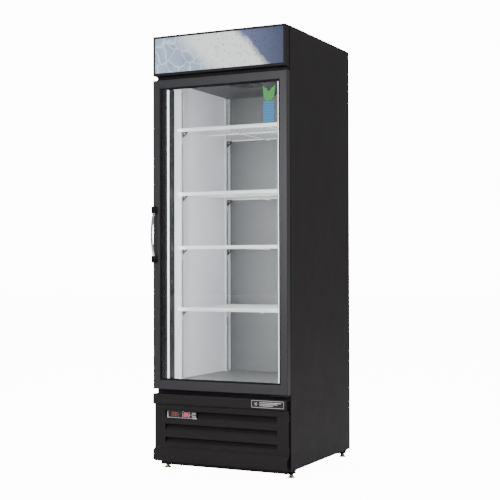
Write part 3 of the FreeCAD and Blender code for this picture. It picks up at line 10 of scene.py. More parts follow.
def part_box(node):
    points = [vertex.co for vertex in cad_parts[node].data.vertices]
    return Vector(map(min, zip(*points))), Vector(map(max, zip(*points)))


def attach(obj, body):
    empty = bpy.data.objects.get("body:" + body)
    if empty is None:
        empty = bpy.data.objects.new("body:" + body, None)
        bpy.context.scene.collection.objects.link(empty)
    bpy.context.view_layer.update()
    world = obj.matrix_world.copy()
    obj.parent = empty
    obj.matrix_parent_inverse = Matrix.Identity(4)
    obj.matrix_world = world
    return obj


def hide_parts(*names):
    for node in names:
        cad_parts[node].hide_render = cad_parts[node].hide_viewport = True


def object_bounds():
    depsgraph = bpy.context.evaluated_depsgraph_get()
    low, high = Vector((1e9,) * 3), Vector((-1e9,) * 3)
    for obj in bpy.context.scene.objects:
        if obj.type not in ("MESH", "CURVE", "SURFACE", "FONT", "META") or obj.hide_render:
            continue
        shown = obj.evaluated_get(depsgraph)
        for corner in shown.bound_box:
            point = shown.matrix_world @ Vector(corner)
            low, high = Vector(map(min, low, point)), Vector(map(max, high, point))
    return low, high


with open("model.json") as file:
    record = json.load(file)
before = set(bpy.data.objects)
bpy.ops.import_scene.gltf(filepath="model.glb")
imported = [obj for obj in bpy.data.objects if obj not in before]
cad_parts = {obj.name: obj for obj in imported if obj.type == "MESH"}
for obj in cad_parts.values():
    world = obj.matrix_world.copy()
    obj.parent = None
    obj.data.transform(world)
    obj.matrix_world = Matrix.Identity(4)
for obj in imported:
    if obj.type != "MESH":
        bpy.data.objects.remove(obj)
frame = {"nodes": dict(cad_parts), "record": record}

bl_info = {
    "name": "Glass door merchandiser",
    "version": (1, 0, 0),
    "blender": (4, 5, 0),
    "location": "3D View > Sidebar > Merchandiser",
    "description": "Finishes and trim for an upright refrigerated cabinet with a swing glass door",
    "category": "Object",
}

CAD_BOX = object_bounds()
MM = 0.001
FEET = ("foot_front_left", "foot_front_right", "foot_rear_left", "foot_rear_right")
SHELVES = (1, 2, 3, 4)
ROUNDED = ("side_panel_left", "side_panel_right", "top_panel", "header_housing", "door_stile_left",
           "door_stile_right", "door_rail_top", "door_rail_bottom", "handle_mounts", "breaker_strips")
COORDINATES_OBJECT = 3
MIX_RESULT = 2


# ---- small tools ----

def linear(hex_colour):
    """An sRGB hex colour as linear red, green, blue and alpha."""
    channels = [int(hex_colour[start:start + 2], 16) / 255.0 for start in (1, 3, 5)]
    return tuple(c / 12.92 if c <= 0.04045 else ((c + 0.055) / 1.055) ** 2.4 for c in channels) + (1.0,)


def shaded(colour, share):
    """A colour made darker or lighter by a share."""
    return tuple(min(channel * share, 1.0) for channel in colour[:3]) + (1.0,)


def add(tree, kind, values=None, out=0, to=None, **settings):
    """Adds a node with its settings, fills its inputs by value or link, and returns one output."""
    made = tree.nodes.new(kind)
    for name, value in settings.items():
        setattr(made, name, value)
    for key, value in (values or {}).items():
        if isinstance(value, bpy.types.NodeSocket):
            tree.links.new(value, made.inputs[key])
        else:
            made.inputs[key].default_value = value
    if to is not None:
        tree.links.new(made.outputs[out], to)
    return made.outputs[out]


def per_metre(size_mm):
    """Texture scale that gives a pattern about this many millimetres across."""
    return 1.0 / (size_mm * MM)


def start(name, colour, roughness, metallic=0.0, **sockets):
    """A new material, its node tree, its main shader and its object coordinates."""
    material = bpy.data.materials.new(name)
    material.use_nodes = True
    tree = material.node_tree
    shader = tree.nodes["Principled BSDF"]
    values = {"Base Color": colour, "Roughness": roughness, "Metallic": metallic}
    values.update(sockets)
    for key, value in values.items():
        shader.inputs[key].default_value = value
    return material, tree, shader, add(tree, "ShaderNodeTexCoord", out=COORDINATES_OBJECT)


def colours():
    return bpy.context.scene.merchandiser_colours


def sizes():
    return bpy.context.scene.merchandiser_sizes


# ---- materials ----

def powder_coat(name, colour, roughness, peel_mm, gloss):
    """Powder-coated sheet: a faint orange peel breaks up reflections, and wiping leaves soft dull patches."""
    material, tree, shader, place = start(name, colour, roughness, **{"Specular IOR Level": gloss})
    cloud = add(tree, "ShaderNodeTexNoise", {"Vector": place, "Scale": per_metre(420), "Detail": 5.0})
    add(tree, "ShaderNodeMix", {0: cloud, 6: colour, 7: shaded(colour, 1.25)}, MIX_RESULT,
        shader.inputs["Base Color"], data_type="RGBA")
    wipe = add(tree, "ShaderNodeTexNoise", {"Vector": place, "Scale": per_metre(95), "Detail": 6.0})
    add(tree, "ShaderNodeMapRange", {"Value": wipe, "To Min": roughness - 0.06,
                                     "To Max": roughness + 0.08}, 0,
        shader.inputs["Roughness"])
    peel = add(tree, "ShaderNodeTexNoise", {"Vector": place, "Scale": per_metre(peel_mm), "Detail": 2.0})
    add(tree, "ShaderNodeBump", {"Height": peel, "Distance": 0.03 * MM, "Strength": 0.5}, 0,
        shader.inputs["Normal"])
    return material


def steel_black_powder_coated():
    """Outer sheets: nearly black, satin, with soft wiped patches."""
    return powder_coat("steel_black_powder_coated", tuple(colours().cabinet), 0.5, 1.1, 0.15)


def steel_black_gloss_stoved():
    """Stoved compressor paint: thick, glossy and a little lumpy."""
    return powder_coat("steel_black_gloss_stoved", linear("#101011"), 0.2, 3.0, 0.5)


def steel_grey_painted():
    """Motor paint: mid grey with a satin gloss."""
    return powder_coat("steel_grey_painted", linear("#4A4C4F"), 0.4, 1.1, 0.4)


def aluminium_black_extruded():
    """Extruded and coated bars: drawn lines along the bar, with a silkier sheen than the sheet."""
    colour = tuple(colours().door_frame)
    material, tree, shader, place = start("aluminium_black_extruded", colour, 0.4)
    fine = add(tree, "ShaderNodeMapping",
               {"Vector": place, "Scale": (per_metre(2.5), per_metre(2.5), per_metre(160))})
    drawn = add(tree, "ShaderNodeTexNoise", {"Vector": fine, "Scale": 1.0, "Detail": 3.0})
    add(tree, "ShaderNodeMapRange", {"Value": drawn, "To Min": 0.36, "To Max": 0.46}, 0,
        shader.inputs["Roughness"])
    add(tree, "ShaderNodeMix", {0: drawn, 6: shaded(colour, 0.92), 7: shaded(colour, 1.12)}, MIX_RESULT,
        shader.inputs["Base Color"], data_type="RGBA")
    add(tree, "ShaderNodeBump", {"Height": drawn, "Distance": 0.02 * MM, "Strength": 0.3}, 0,
        shader.inputs["Normal"])
    return material


def enamel(name, colour, roughness, gloss=0.5):
    """Stoved enamel on sheet: a fine orange peel, slightly duller on its crests."""
    material, tree, shader, place = start(name, colour, roughness, **{"Specular IOR Level": gloss})
    cloud = add(tree, "ShaderNodeTexNoise", {"Vector": place, "Scale": per_metre(260), "Detail": 4.0})
    add(tree, "ShaderNodeMix", {0: cloud, 6: shaded(colour, 0.9), 7: colour}, MIX_RESULT,
        shader.inputs["Base Color"], data_type="RGBA")
    peel = add(tree, "ShaderNodeTexNoise", {"Vector": place, "Scale": per_metre(1.6), "Detail": 2.0})
    add(tree, "ShaderNodeMapRange", {"Value": peel, "To Min": roughness - 0.05,
                                     "To Max": roughness + 0.08}, 0,
        shader.inputs["Roughness"])
    add(tree, "ShaderNodeBump", {"Height": peel, "Distance": 0.03 * MM, "Strength": 0.4}, 0,
        shader.inputs["Normal"])
    return material


def aluminium_liner_enamelled():
    """Liner sheet: light walls, with a darker back and floor sheet."""
    light = tuple(colours().liner)
    material = enamel("aluminium_liner_enamelled", light, 0.4)
    tree = material.node_tree
    shader = tree.nodes["Principled BSDF"]
    low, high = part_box("liner_panels")
    place = add(tree, "ShaderNodeTexCoord", out=COORDINATES_OBJECT)
    axes = add(tree, "ShaderNodeSeparateXYZ", {"Vector": place}).node.outputs
    rear = add(tree, "ShaderNodeMapRange", {"Value": axes["Y"], "From Min": high.y - 4 * MM,
                                            "From Max": high.y - 2 * MM})
    base = add(tree, "ShaderNodeMapRange", {"Value": axes["Z"], "From Min": low.z + 4 * MM,
                                            "From Max": low.z + 2 * MM})
    either = add(tree, "ShaderNodeMath", {0: rear, 1: base}, operation="MAXIMUM")
    wall = shader.inputs["Base Color"].links[0].from_socket
    add(tree, "ShaderNodeMix", {0: either, 6: wall, 7: shaded(light, 0.09)}, MIX_RESULT,
        shader.inputs["Base Color"], data_type="RGBA")
    return material


def steel_white_enamelled():
    """Shelf rails: off-white with a satin gloss."""
    return enamel("steel_white_enamelled", linear("#BDBDC0"), 0.4)


def aluminium_cover_coated():
    """Ceiling sheet: dark grey and dull."""
    return enamel("aluminium_cover_coated", linear("#2C2C30"), 0.42, 0.2)


def moulded(name, colour, roughness, grain_mm, relief_mm, **sockets):
    """Moulded plastic: a spark-eroded grain scatters the gloss, and the colour clouds faintly."""
    material, tree, shader, place = start(name, colour, roughness, **{"IOR": 1.49, **sockets})
    grain = add(tree, "ShaderNodeTexVoronoi", {"Vector": place, "Scale": per_metre(grain_mm)})
    cloud = add(tree, "ShaderNodeTexNoise", {"Vector": place, "Scale": per_metre(60), "Detail": 4.0})
    add(tree, "ShaderNodeMix", {0: cloud, 6: shaded(colour, 0.85), 7: shaded(colour, 1.1)}, MIX_RESULT,
        shader.inputs["Base Color"], data_type="RGBA")
    add(tree, "ShaderNodeMapRange", {"Value": cloud, "To Min": roughness - 0.05,
                                     "To Max": roughness + 0.05}, 0,
        shader.inputs["Roughness"])
    add(tree, "ShaderNodeBump", {"Height": grain, "Distance": relief_mm * MM, "Strength": 0.5}, 0,
        shader.inputs["Normal"])
    return material


def abs_black_moulded():
    """Black moulded parts: dull, with a fine grain."""
    return moulded("abs_black_moulded", linear("#0E0E0F"), 0.55, 0.9, 0.03, **{"Specular IOR Level": 0.15})


def pvc_black_extruded():
    """Flexible black strip: smoother than moulded parts, with a soft gloss along its length."""
    return moulded("pvc_black_extruded", linear("#0B0B0C"), 0.5, 2.0, 0.01, **{"Specular IOR Level": 0.15})


def abs_bezel_moulded():
    """Controller and badge face: black and a little glossier than the other plastic."""
    return moulded("abs_bezel_moulded", linear("#121213"), 0.34, 0.7, 0.02)


def abs_white_moulded():
    """Light grey keys with a soft gloss."""
    return moulded("abs_white_moulded", linear("#A8A8AA"), 0.42, 0.7, 0.02)


def polycarbonate_red_moulded():
    """Clear red rocker cap: lit from inside, so it glows a little."""
    return moulded("polycarbonate_red_moulded", linear("#C4505E"), 0.2, 1.2, 0.01,
                   **{"Emission Color": linear("#E04858"), "Emission Strength": 0.35, "Coat Weight": 0.5})


def acrylic_smoked():
    """Smoked display window: nearly black and very glossy."""
    return moulded("acrylic_smoked", linear("#120506"), 0.08, 2.0, 0.002, **{"Coat Weight": 0.6})


def led_segments_red():
    """Lit display segments: an even red glow."""
    red = tuple(colours().display)
    return moulded("led_segments_red", red, 0.3, 0.8, 0.01,
                   **{"Emission Color": red, "Emission Strength": 0.35})


def epdm_black_extruded():
    """Soft seal rubber: dull, with a dusty bloom that lifts the black."""
    material, tree, shader, place = start("epdm_black_extruded", linear("#171717"), 0.75,
                                          **{"Specular IOR Level": 0.3})
    bloom = add(tree, "ShaderNodeTexNoise", {"Vector": place, "Scale": per_metre(28), "Detail": 7.0})
    add(tree, "ShaderNodeMix", {0: bloom, 6: linear("#0E0E0E"), 7: linear("#1C1C1C")}, MIX_RESULT,
        shader.inputs["Base Color"], data_type="RGBA")
    add(tree, "ShaderNodeMapRange", {"Value": bloom, "To Min": 0.66, "To Max": 0.85}, 0,
        shader.inputs["Roughness"])
    add(tree, "ShaderNodeBump", {"Height": bloom, "Distance": 0.05 * MM, "Strength": 0.4}, 0,
        shader.inputs["Normal"])
    return material


def glass_float():
    """Float glass: clear and mirror-smooth, with faint smears; lamps shine through it."""
    material, tree, shader, place = start("glass_float", linear("#FDFFFF"), 0.0,
                                          **{"IOR": 1.45, "Transmission Weight": 1.0})
    smear = add(tree, "ShaderNodeTexNoise", {"Vector": place, "Scale": per_metre(140), "Detail": 8.0})
    add(tree, "ShaderNodeMapRange", {"Value": smear, "To Min": 0.0, "To Max": 0.02}, 0,
        shader.inputs["Roughness"])
    path = add(tree, "ShaderNodeLightPath").node.outputs
    clear = add(tree, "ShaderNodeBsdfTransparent", {"Color": linear("#FAFCFC")})
    add(tree, "ShaderNodeMixShader", {0: path["Is Shadow Ray"], 1: shader.outputs["BSDF"], 2: clear}, 0,
        tree.nodes["Material Output"].inputs["Surface"])
    return material


def metal(name, colour, roughness, grain):
    """Bare or plated metal: lines along the way it was worked, with a little stain.

    Real lines are finer; these are drawn coarser, so that they show from a few metres.
    """
    material, tree, shader, place = start(name, colour, roughness, 1.0)
    lines = add(tree, "ShaderNodeMapping", {"Vector": place,
                                            "Scale": tuple(per_metre(size) for size in grain)})
    worked = add(tree, "ShaderNodeTexNoise", {"Vector": lines, "Scale": 1.0, "Detail": 4.0})
    stain = add(tree, "ShaderNodeTexNoise", {"Vector": place, "Scale": per_metre(35), "Detail": 5.0})
    add(tree, "ShaderNodeMix", {0: stain, 6: shaded(colour, 0.82), 7: colour}, MIX_RESULT,
        shader.inputs["Base Color"], data_type="RGBA")
    add(tree, "ShaderNodeMapRange", {"Value": worked, "To Min": roughness - 0.06,
                                     "To Max": roughness + 0.1}, 0,
        shader.inputs["Roughness"])
    add(tree, "ShaderNodeBump", {"Height": worked, "Distance": 0.01 * MM, "Strength": 0.4}, 0,
        shader.inputs["Normal"])
    return material


def steel_chrome_plated():
    """Chrome: bright, with faint lines along the bar."""
    return metal("steel_chrome_plated", linear("#E6E6E8"), 0.16, (1.2, 1.2, 60))


def steel_zinc_plated():
    """Zinc: pale grey and soft."""
    return metal("steel_zinc_plated", linear("#C2C1BC"), 0.34, (1.0, 1.0, 1.0))


def aluminium_rolled():
    """Fin stock: pale, with rolling lines."""
    return metal("aluminium_rolled", linear("#CDCFD1"), 0.32, (0.8, 60, 60))


def aluminium_spacer_anodised():
    """Spacer between the panes: dyed black and matt."""
    return enamel("aluminium_spacer_anodised", linear("#141415"), 0.5, 0.3)


def aluminium_brushed():
    """Brushed badge metal: long fine scratches that pull the highlight into a streak."""
    return metal("aluminium_brushed", linear("#CBCCCE"), 0.28, (45, 1, 0.5))


def copper_drawn():
    """Copper tube: warm and lightly dulled along its length."""
    return metal("copper_drawn", linear("#C77C57"), 0.3, (1.5, 1.5, 30))


def brass_plated():
    """Feet: pale yellow and satin."""
    return metal("brass_plated", linear("#D8C391"), 0.34, (1.0, 1.0, 1.0))


def steel_galvanised():
    """Hot-dip zinc: flat crystals a thumbnail across, each a little lighter or darker."""
    material, tree, shader, place = start("steel_galvanised", linear("#9EA2A4"), 0.4, 1.0)
    crystal = add(tree, "ShaderNodeTexVoronoi", {"Vector": place, "Scale": per_metre(11)}).node.outputs
    share = add(tree, "ShaderNodeSeparateColor", {"Color": crystal["Color"]})
    add(tree, "ShaderNodeMix", {0: share, 6: linear("#8A8E91"), 7: linear("#B3B7B9")}, MIX_RESULT,
        shader.inputs["Base Color"], data_type="RGBA")
    add(tree, "ShaderNodeMapRange", {"Value": share, "To Min": 0.3, "To Max": 0.5}, 0,
        shader.inputs["Roughness"])
    add(tree, "ShaderNodeBump", {"Height": crystal["Distance"], "Distance": 0.03 * MM, "Strength": 0.3}, 0,
        shader.inputs["Normal"])
    return material


def foam_polyurethane():
    """Foamed in place: pale yellow, matt and full of small cells."""
    material, tree, shader, place = start("foam_polyurethane", linear("#E3CF98"), 0.9)
    cells = add(tree, "ShaderNodeTexVoronoi", {"Vector": place, "Scale": per_metre(2.5)})
    add(tree, "ShaderNodeMix", {0: cells, 6: linear("#E8D7A6"), 7: linear("#C9B071")}, MIX_RESULT,
        shader.inputs["Base Color"], data_type="RGBA")
    add(tree, "ShaderNodeBump", {"Height": cells, "Distance": 0.4 * MM}, 0, shader.inputs["Normal"])
    return material


def wire_plastic_coated():
    """Dip-coated shelf wire: thick white plastic with rounded gloss and slow ripples."""
    colour = tuple(colours().shelf)
    material, tree, shader, place = start("wire_plastic_coated", colour, 0.3, **{"Coat Weight": 0.2})
    ripple = add(tree, "ShaderNodeTexNoise", {"Vector": place, "Scale": per_metre(9), "Detail": 2.0})
    add(tree, "ShaderNodeMix", {0: ripple, 6: shaded(colour, 0.93), 7: colour}, MIX_RESULT,
        shader.inputs["Base Color"], data_type="RGBA")
    add(tree, "ShaderNodeMapRange", {"Value": ripple, "To Min": 0.24, "To Max": 0.38}, 0,
        shader.inputs["Roughness"])
    add(tree, "ShaderNodeBump", {"Height": ripple, "Distance": 0.08 * MM, "Strength": 0.4}, 0,
        shader.inputs["Normal"])
    return material


def led_lens_opal():
    """Opal lens: the separate chips behind it show as slightly brighter beads."""
    material, tree, shader, place = start("led_lens_opal", linear("#F4F6FA"), 0.35,
                                          **{"Emission Color": linear("#F4F8FF")})
    axes = add(tree, "ShaderNodeSeparateXYZ", {"Vector": place}).node.outputs
    step = add(tree, "ShaderNodeMath", {0: axes["Z"], 1: math.tau * per_metre(16)}, operation="MULTIPLY")
    bead = add(tree, "ShaderNodeMath", {0: step}, operation="SINE")
    add(tree, "ShaderNodeMapRange", {"Value": bead, "From Min": -1.0, "To Min": 1.6, "To Max": 2.4}, 0,
        shader.inputs["Emission Strength"])
    return material


def lamp_tube_lit():
    """Opal lamp tube behind the sign: even white, dimmer by its ends."""
    material, tree, shader, place = start("lamp_tube_lit", linear("#F7F7F7"), 0.2,
                                          **{"Emission Color": linear("#FFFFFF")})
    axes = add(tree, "ShaderNodeSeparateXYZ", {"Vector": place})
    away = add(tree, "ShaderNodeMath", {0: axes}, operation="ABSOLUTE")
    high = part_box("header_lamp")[1]
    add(tree, "ShaderNodeMapRange", {"Value": away, "From Min": high.x * 0.8, "From Max": high.x,
                                     "To Min": 1.2,
                                     "To Max": 0.0}, 0, shader.inputs["Emission Strength"])
    return material


def sign_sheet_printed():
    """Printed acrylic sheet: blue-grey ice at the left, a pale slanted band with drops, and dark slate."""
    pale = tuple(colours().sign_pale)
    dark = tuple(colours().sign_dark)
    material, tree, shader, place = start("sign_sheet_printed", pale, 0.35, **{"Specular IOR Level": 0.2})
    low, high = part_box("header_sign")
    axes = add(tree, "ShaderNodeSeparateXYZ", {"Vector": place}).node.outputs
    across = add(tree, "ShaderNodeMapRange", {"Value": axes["X"], "From Min": low.x, "From Max": high.x})
    upward = add(tree, "ShaderNodeMapRange", {"Value": axes["Z"], "From Min": low.z, "From Max": high.z})
    slant = add(tree, "ShaderNodeMath", {0: upward, 1: 0.24, 2: across}, operation="MULTIPLY_ADD")
    drift = add(tree, "ShaderNodeTexNoise", {"Vector": place, "Scale": per_metre(70), "Detail": 7.0})
    edge = add(tree, "ShaderNodeMath", {0: drift, 1: 0.12, 2: slant}, operation="MULTIPLY_ADD")
    wander = add(tree, "ShaderNodeTexNoise", {"Vector": place, "Scale": per_metre(60), "Detail": 3.0}, 1)
    pushed = add(tree, "ShaderNodeVectorMath", {0: wander, 1: (0.06, 0.0, 0.06), 2: place}, 0,
                 operation="MULTIPLY_ADD")
    chips = add(tree, "ShaderNodeTexVoronoi", {"Vector": pushed, "Scale": per_metre(55)}, 0,
                feature="DISTANCE_TO_EDGE")
    crack = add(tree, "ShaderNodeMapRange", {"Value": chips, "To Min": 0.45,
                                             "To Max": -0.1, "From Max": 0.09})
    ice = add(tree, "ShaderNodeMath", {0: drift, 1: crack}, operation="ADD")
    left = add(tree, "ShaderNodeMix", {0: ice, 6: shaded(dark, 3.0), 7: shaded(pale, 1.6)}, MIX_RESULT,
        data_type="RGBA")
    band_in = add(tree, "ShaderNodeMapRange", {"Value": edge, "From Min": 0.42, "From Max": 0.6})
    band = add(tree, "ShaderNodeMix", {0: band_in, 6: left, 7: linear("#F4F6F7")}, MIX_RESULT,
        data_type="RGBA")
    slate_in = add(tree, "ShaderNodeMapRange", {"Value": edge, "From Min": 0.9, "From Max": 0.97})
    slate = add(tree, "ShaderNodeMix", {0: across, 6: shaded(dark, 5.0), 7: dark}, MIX_RESULT,
        data_type="RGBA")
    ground = add(tree, "ShaderNodeMix", {0: slate_in, 6: band, 7: slate}, MIX_RESULT, data_type="RGBA")
    drops = add(tree, "ShaderNodeTexVoronoi", {"Vector": place, "Scale": per_metre(15)})
    drop = add(tree, "ShaderNodeMapRange", {"Value": drops, "From Min": 0.18, "From Max": 0.3, "To Min": 0.6,
                                            "To Max": 0.0})
    near = add(tree, "ShaderNodeMapRange", {"Value": slant, "From Min": 0.45, "From Max": 0.6})
    share = add(tree, "ShaderNodeMath", {0: drop, 1: near}, operation="MULTIPLY")
    colour = add(tree, "ShaderNodeMix", {0: share, 6: ground, 7: shaded(dark, 0.8)}, MIX_RESULT,
                 shader.inputs["Base Color"], data_type="RGBA")
    tree.links.new(colour, shader.inputs["Emission Color"])
    shader.inputs["Emission Strength"].default_value = 0.25
    add(tree, "ShaderNodeBump", {"Height": drop, "Distance": 0.05 * MM, "Strength": 0.5}, 0,
        shader.inputs["Normal"])
    return material


def film_printed(name, colour):
    """Printed film on the glass: flat ink with faint pale rules."""
    material, tree, shader, place = start(name, colour, 0.45)
    axes = add(tree, "ShaderNodeSeparateXYZ", {"Vector": place}).node.outputs
    rule = add(tree, "ShaderNodeMath", {0: axes["Z"], 1: math.tau * per_metre(12)}, operation="MULTIPLY")
    wave = add(tree, "ShaderNodeMath", {0: rule}, operation="SINE")
    line = add(tree, "ShaderNodeMapRange", {"Value": wave, "From Min": 0.6, "From Max": 0.9, "To Max": 0.6})
    add(tree, "ShaderNodeMix", {0: line, 6: colour, 7: shaded(colour, 1.8)}, MIX_RESULT,
        shader.inputs["Base Color"],
        data_type="RGBA")
    return material


def film_green_printed():
    """Green upper sticker."""
    return film_printed("film_green_printed", linear("#3E9A48"))


def film_blue_printed():
    """Blue lower sticker."""
    return film_printed("film_blue_printed", linear("#2F7FB0"))


FINISHES = {
    "black_steel": steel_black_powder_coated,
    "door_frame": aluminium_black_extruded,
    "liner_white": aluminium_liner_enamelled,
    "foam": foam_polyurethane,
    "breaker_black": pvc_black_extruded,
    "sign_print": sign_sheet_printed,
    "lamp_tube": lamp_tube_lit,
    "clear_glass": glass_float,
    "spacer_bar": aluminium_spacer_anodised,
    "seal_rubber": epdm_black_extruded,
    "bright_steel": steel_zinc_plated,
    "handle_chrome": steel_chrome_plated,
    "black_plastic": abs_black_moulded,
    "shelf_white": wire_plastic_coated,
    "pilaster_white": steel_white_enamelled,
    "led_lens": led_lens_opal,
    "cover_grey": aluminium_cover_coated,
    "fin_aluminium": aluminium_rolled,
    "motor_grey": steel_grey_painted,
    "compressor_black": steel_black_gloss_stoved,
    "copper": copper_drawn,
    "galvanised": steel_galvanised,
    "bezel_silver": abs_bezel_moulded,
    "display_smoke": acrylic_smoked,
    "key_light": abs_white_moulded,
    "rocker_red": polycarbonate_red_moulded,
    "badge_silver": aluminium_brushed,
    "foot_brass": brass_plated,
}


def finish(maker):
    """The material of a maker, made on first use."""
    return bpy.data.materials.get(maker.__name__) or maker()


# ---- mesh tools ----

CORNER_STEPS = 4
SHARP_ANGLE = math.radians(35)


def loft(mesh, rings, closed=False):
    """Skins a row of equal rings of points, with end caps unless the row closes on itself."""
    rows = [[mesh.verts.new(point) for point in ring] for ring in rings]
    count = len(rows[0])
    pairs = list(zip(rows, rows[1:]))
    if closed:
        pairs.append((rows[-1], rows[0]))
    for near, far in pairs:
        for index in range(count):
            after = (index + 1) % count
            mesh.faces.new((near[index], near[after], far[after], far[index]))
    if not closed:
        mesh.faces.new(rows[0])
        mesh.faces.new(rows[-1])


def rounded(width, height, radius):
    """Points of a rectangle with round corners, about the origin."""
    points = []
    for turn, (side, level) in enumerate(((1, 1), (-1, 1), (-1, -1), (1, -1))):
        for step in range(CORNER_STEPS + 1):
            angle = math.radians(90 * (turn + step / CORNER_STEPS))
            points.append((side * (width / 2 - radius) + radius * math.cos(angle),
                           level * (height / 2 - radius) + radius * math.sin(angle)))
    return points


def plate(mesh, centre, width, height, depth, radius, edge):
    """Upright plate facing the front: its back is at the centre point and its front rim is eased."""
    rings = []
    for inset, y in ((0, 0), (0, -depth + edge), (edge, -depth)):
        outline = rounded(width - 2 * inset, height - 2 * inset, radius - inset / 2)
        rings.append([Vector((centre.x + x, centre.y + y, centre.z + z)) for x, z in outline])
    loft(mesh, rings)


def framed(mesh, x0, x1, z0, z1, profile):
    """A mitred ring round an upright rectangle; the profile gives inset and depth."""
    rings = []
    for x, z, across, up in ((x0, z0, 1, 1), (x1, z0, -1, 1), (x1, z1, -1, -1), (x0, z1, 1, -1)):
        rings.append([Vector((x + across * inset, y, z + up * inset)) for inset, y in profile])
    loft(mesh, rings, closed=True)


def turned(mesh, centre, outline, steps=28):
    """A turned piece on an upright axis; the outline gives radius and height."""
    rings = []
    for radius, height in outline:
        angles = [math.tau * step / steps for step in range(steps)]
        rings.append([Vector((centre.x + radius * math.cos(turn), centre.y + radius * math.sin(turn), height))
                      for turn in angles])
    loft(mesh, rings)


def placed(name, mesh, maker, body):
    """Turns the built mesh into a named object with its material, riding on a body."""
    bmesh.ops.recalc_face_normals(mesh, faces=mesh.faces)
    data = bpy.data.meshes.new(name)
    mesh.to_mesh(data)
    mesh.free()
    data.materials.append(finish(maker))
    piece = bpy.data.objects.new(name, data)
    bpy.context.scene.collection.objects.link(piece)
    data.shade_smooth()
    data.set_sharp_from_angle(angle=SHARP_ANGLE)
    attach(piece, body)
    return piece


# ---- settings ----

class MerchandiserSizes(bpy.types.PropertyGroup):
    edge_round: FloatProperty(name="Edge round", description="Radius on the folded sheet and bar edges",
                              default=0.0006, subtype="DISTANCE", unit="LENGTH")
    bead: FloatProperty(name="Glazing bead", description="Width of the black beads round the glass",
                        default=0.006, subtype="DISTANCE", unit="LENGTH")
    gasket_width: FloatProperty(name="Gasket width", description="Width of the door seal",
                                default=0.02, subtype="DISTANCE", unit="LENGTH")
    gasket_folds: IntProperty(name="Gasket folds", description="Folds in the bellows of the seal", default=2)
    nose: FloatProperty(name="Shelf nose", description="How far the shelf's front nose stands out",
                        default=0.004, subtype="DISTANCE", unit="LENGTH")
    trim: FloatProperty(name="Trim", description="Width of the bright trim on the controller and badge",
                        default=0.0016, subtype="DISTANCE", unit="LENGTH")
    digit: FloatProperty(name="Digit height", description="Height of the display's digits",
                         default=0.015, subtype="DISTANCE", unit="LENGTH")
    thread: FloatProperty(name="Thread pitch", description="Pitch of the thread on the levelling feet",
                          default=0.002, subtype="DISTANCE", unit="LENGTH")


def colour_property(name, description, default):
    return FloatVectorProperty(name=name, description=description, default=linear(default), size=4,
                               min=0.0, max=1.0, subtype="COLOR")


class MerchandiserColours(bpy.types.PropertyGroup):
    cabinet: colour_property("Cabinet", "Powder coat on the outer sheets", "#252223")
    door_frame: colour_property("Door frame", "Coating on the door bars", "#2C2C31")
    liner: colour_property("Liner", "Enamel on the inner walls", "#F0F0F5")
    shelf: colour_property("Shelf", "Plastic coat on the shelf wire", "#F3F3F2")
    sign_pale: colour_property("Sign pale", "Light ink of the header sign", "#A9BDC9")
    sign_dark: colour_property("Sign dark", "Dark ink of the header sign", "#454B63")
    display: colour_property("Display", "Colour of the lit digits", "#B8281A")


# ---- pieces ----

class MERCHANDISER_OT_finishes(bpy.types.Operator):
    """Gives every part of the cabinet the material of its slot and eases the sheet edges"""
    bl_idname = "merchandiser.finishes"
    bl_label = "Finishes"

    def execute(self, context):
        for part in frame["record"]["subparts"]:
            mesh = frame["nodes"][part["node"]].data
            mesh.materials.clear()
            mesh.materials.append(finish(FINISHES[part["material_slot"]]))
        for node in ROUNDED:
            piece = frame["nodes"][node]
            piece.modifiers.new("joined", "WELD").merge_threshold = MM / 100
            eased = piece.modifiers.new("eased", "BEVEL")
            eased.width = sizes().edge_round
            eased.segments = 2
            eased.limit_method = "ANGLE"
            eased.harden_normals = True
        return {"FINISHED"}


class MERCHANDISER_OT_seal(bpy.types.Operator):
    """Builds the folded door seal in place of its plain ring"""
    bl_idname = "merchandiser.seal"
    bl_label = "Door seal"

    def execute(self, context):
        low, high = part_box("door_gasket")
        width = sizes().gasket_width
        rows = 2 * sizes().gasket_folds
        depth = high.y - low.y
        outer = [(MM * 2 * (row % 2), low.y + depth * row / rows) for row in range(rows + 1)]
        inner = [(width - inset, y) for inset, y in reversed(outer)]
        mesh = bmesh.new()
        framed(mesh, low.x, high.x, low.z, high.z, outer + inner)
        piece = placed("door_gasket_bellows", mesh, epdm_black_extruded, "door")
        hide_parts("door_gasket")
        return {"FINISHED"}


def opening():
    """The clear rectangle inside the door frame."""
    return (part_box("door_stile_left")[1].x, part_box("door_stile_right")[0].x,
            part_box("door_rail_bottom")[1].z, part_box("door_rail_top")[0].z)


class MERCHANDISER_OT_beads(bpy.types.Operator):
    """Builds the black glazing beads on both faces of the glass"""
    bl_idname = "merchandiser.beads"
    bl_label = "Glazing beads"

    def execute(self, context):
        glass_low, glass_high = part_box("glass_panes")
        door_low, door_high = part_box("door_stile_left")
        width = sizes().bead
        mesh = bmesh.new()
        for face, rim in ((glass_low.y, door_low.y), (glass_high.y, door_high.y)):
            tall = (rim - face) * 0.8
            profile = ((0, face), (width, face), (width, face + tall * 0.3),
                       (width * 0.5, face + tall * 0.85),
                       (0, face + tall))
            framed(mesh, *opening(), profile)
        placed("glazing_beads", mesh, pvc_black_extruded, "door")
        return {"FINISHED"}


FILM = 0.15
LEAF = ((0, -34), (14, -30), (26, -16), (31, 34), (12, 22), (0, 6), (-12, 22),
        (-31, 34), (-26, -16), (-14, -30))
LABEL = ((-26, -46), (26, -46), (26, 46), (-26, 46))
STICKERS = (
    ("sticker_leaf", film_green_printed, LEAF, (255.0, 1724.0)),
    ("sticker_label", film_blue_printed, LABEL, (253.0, 1642.0)),
)


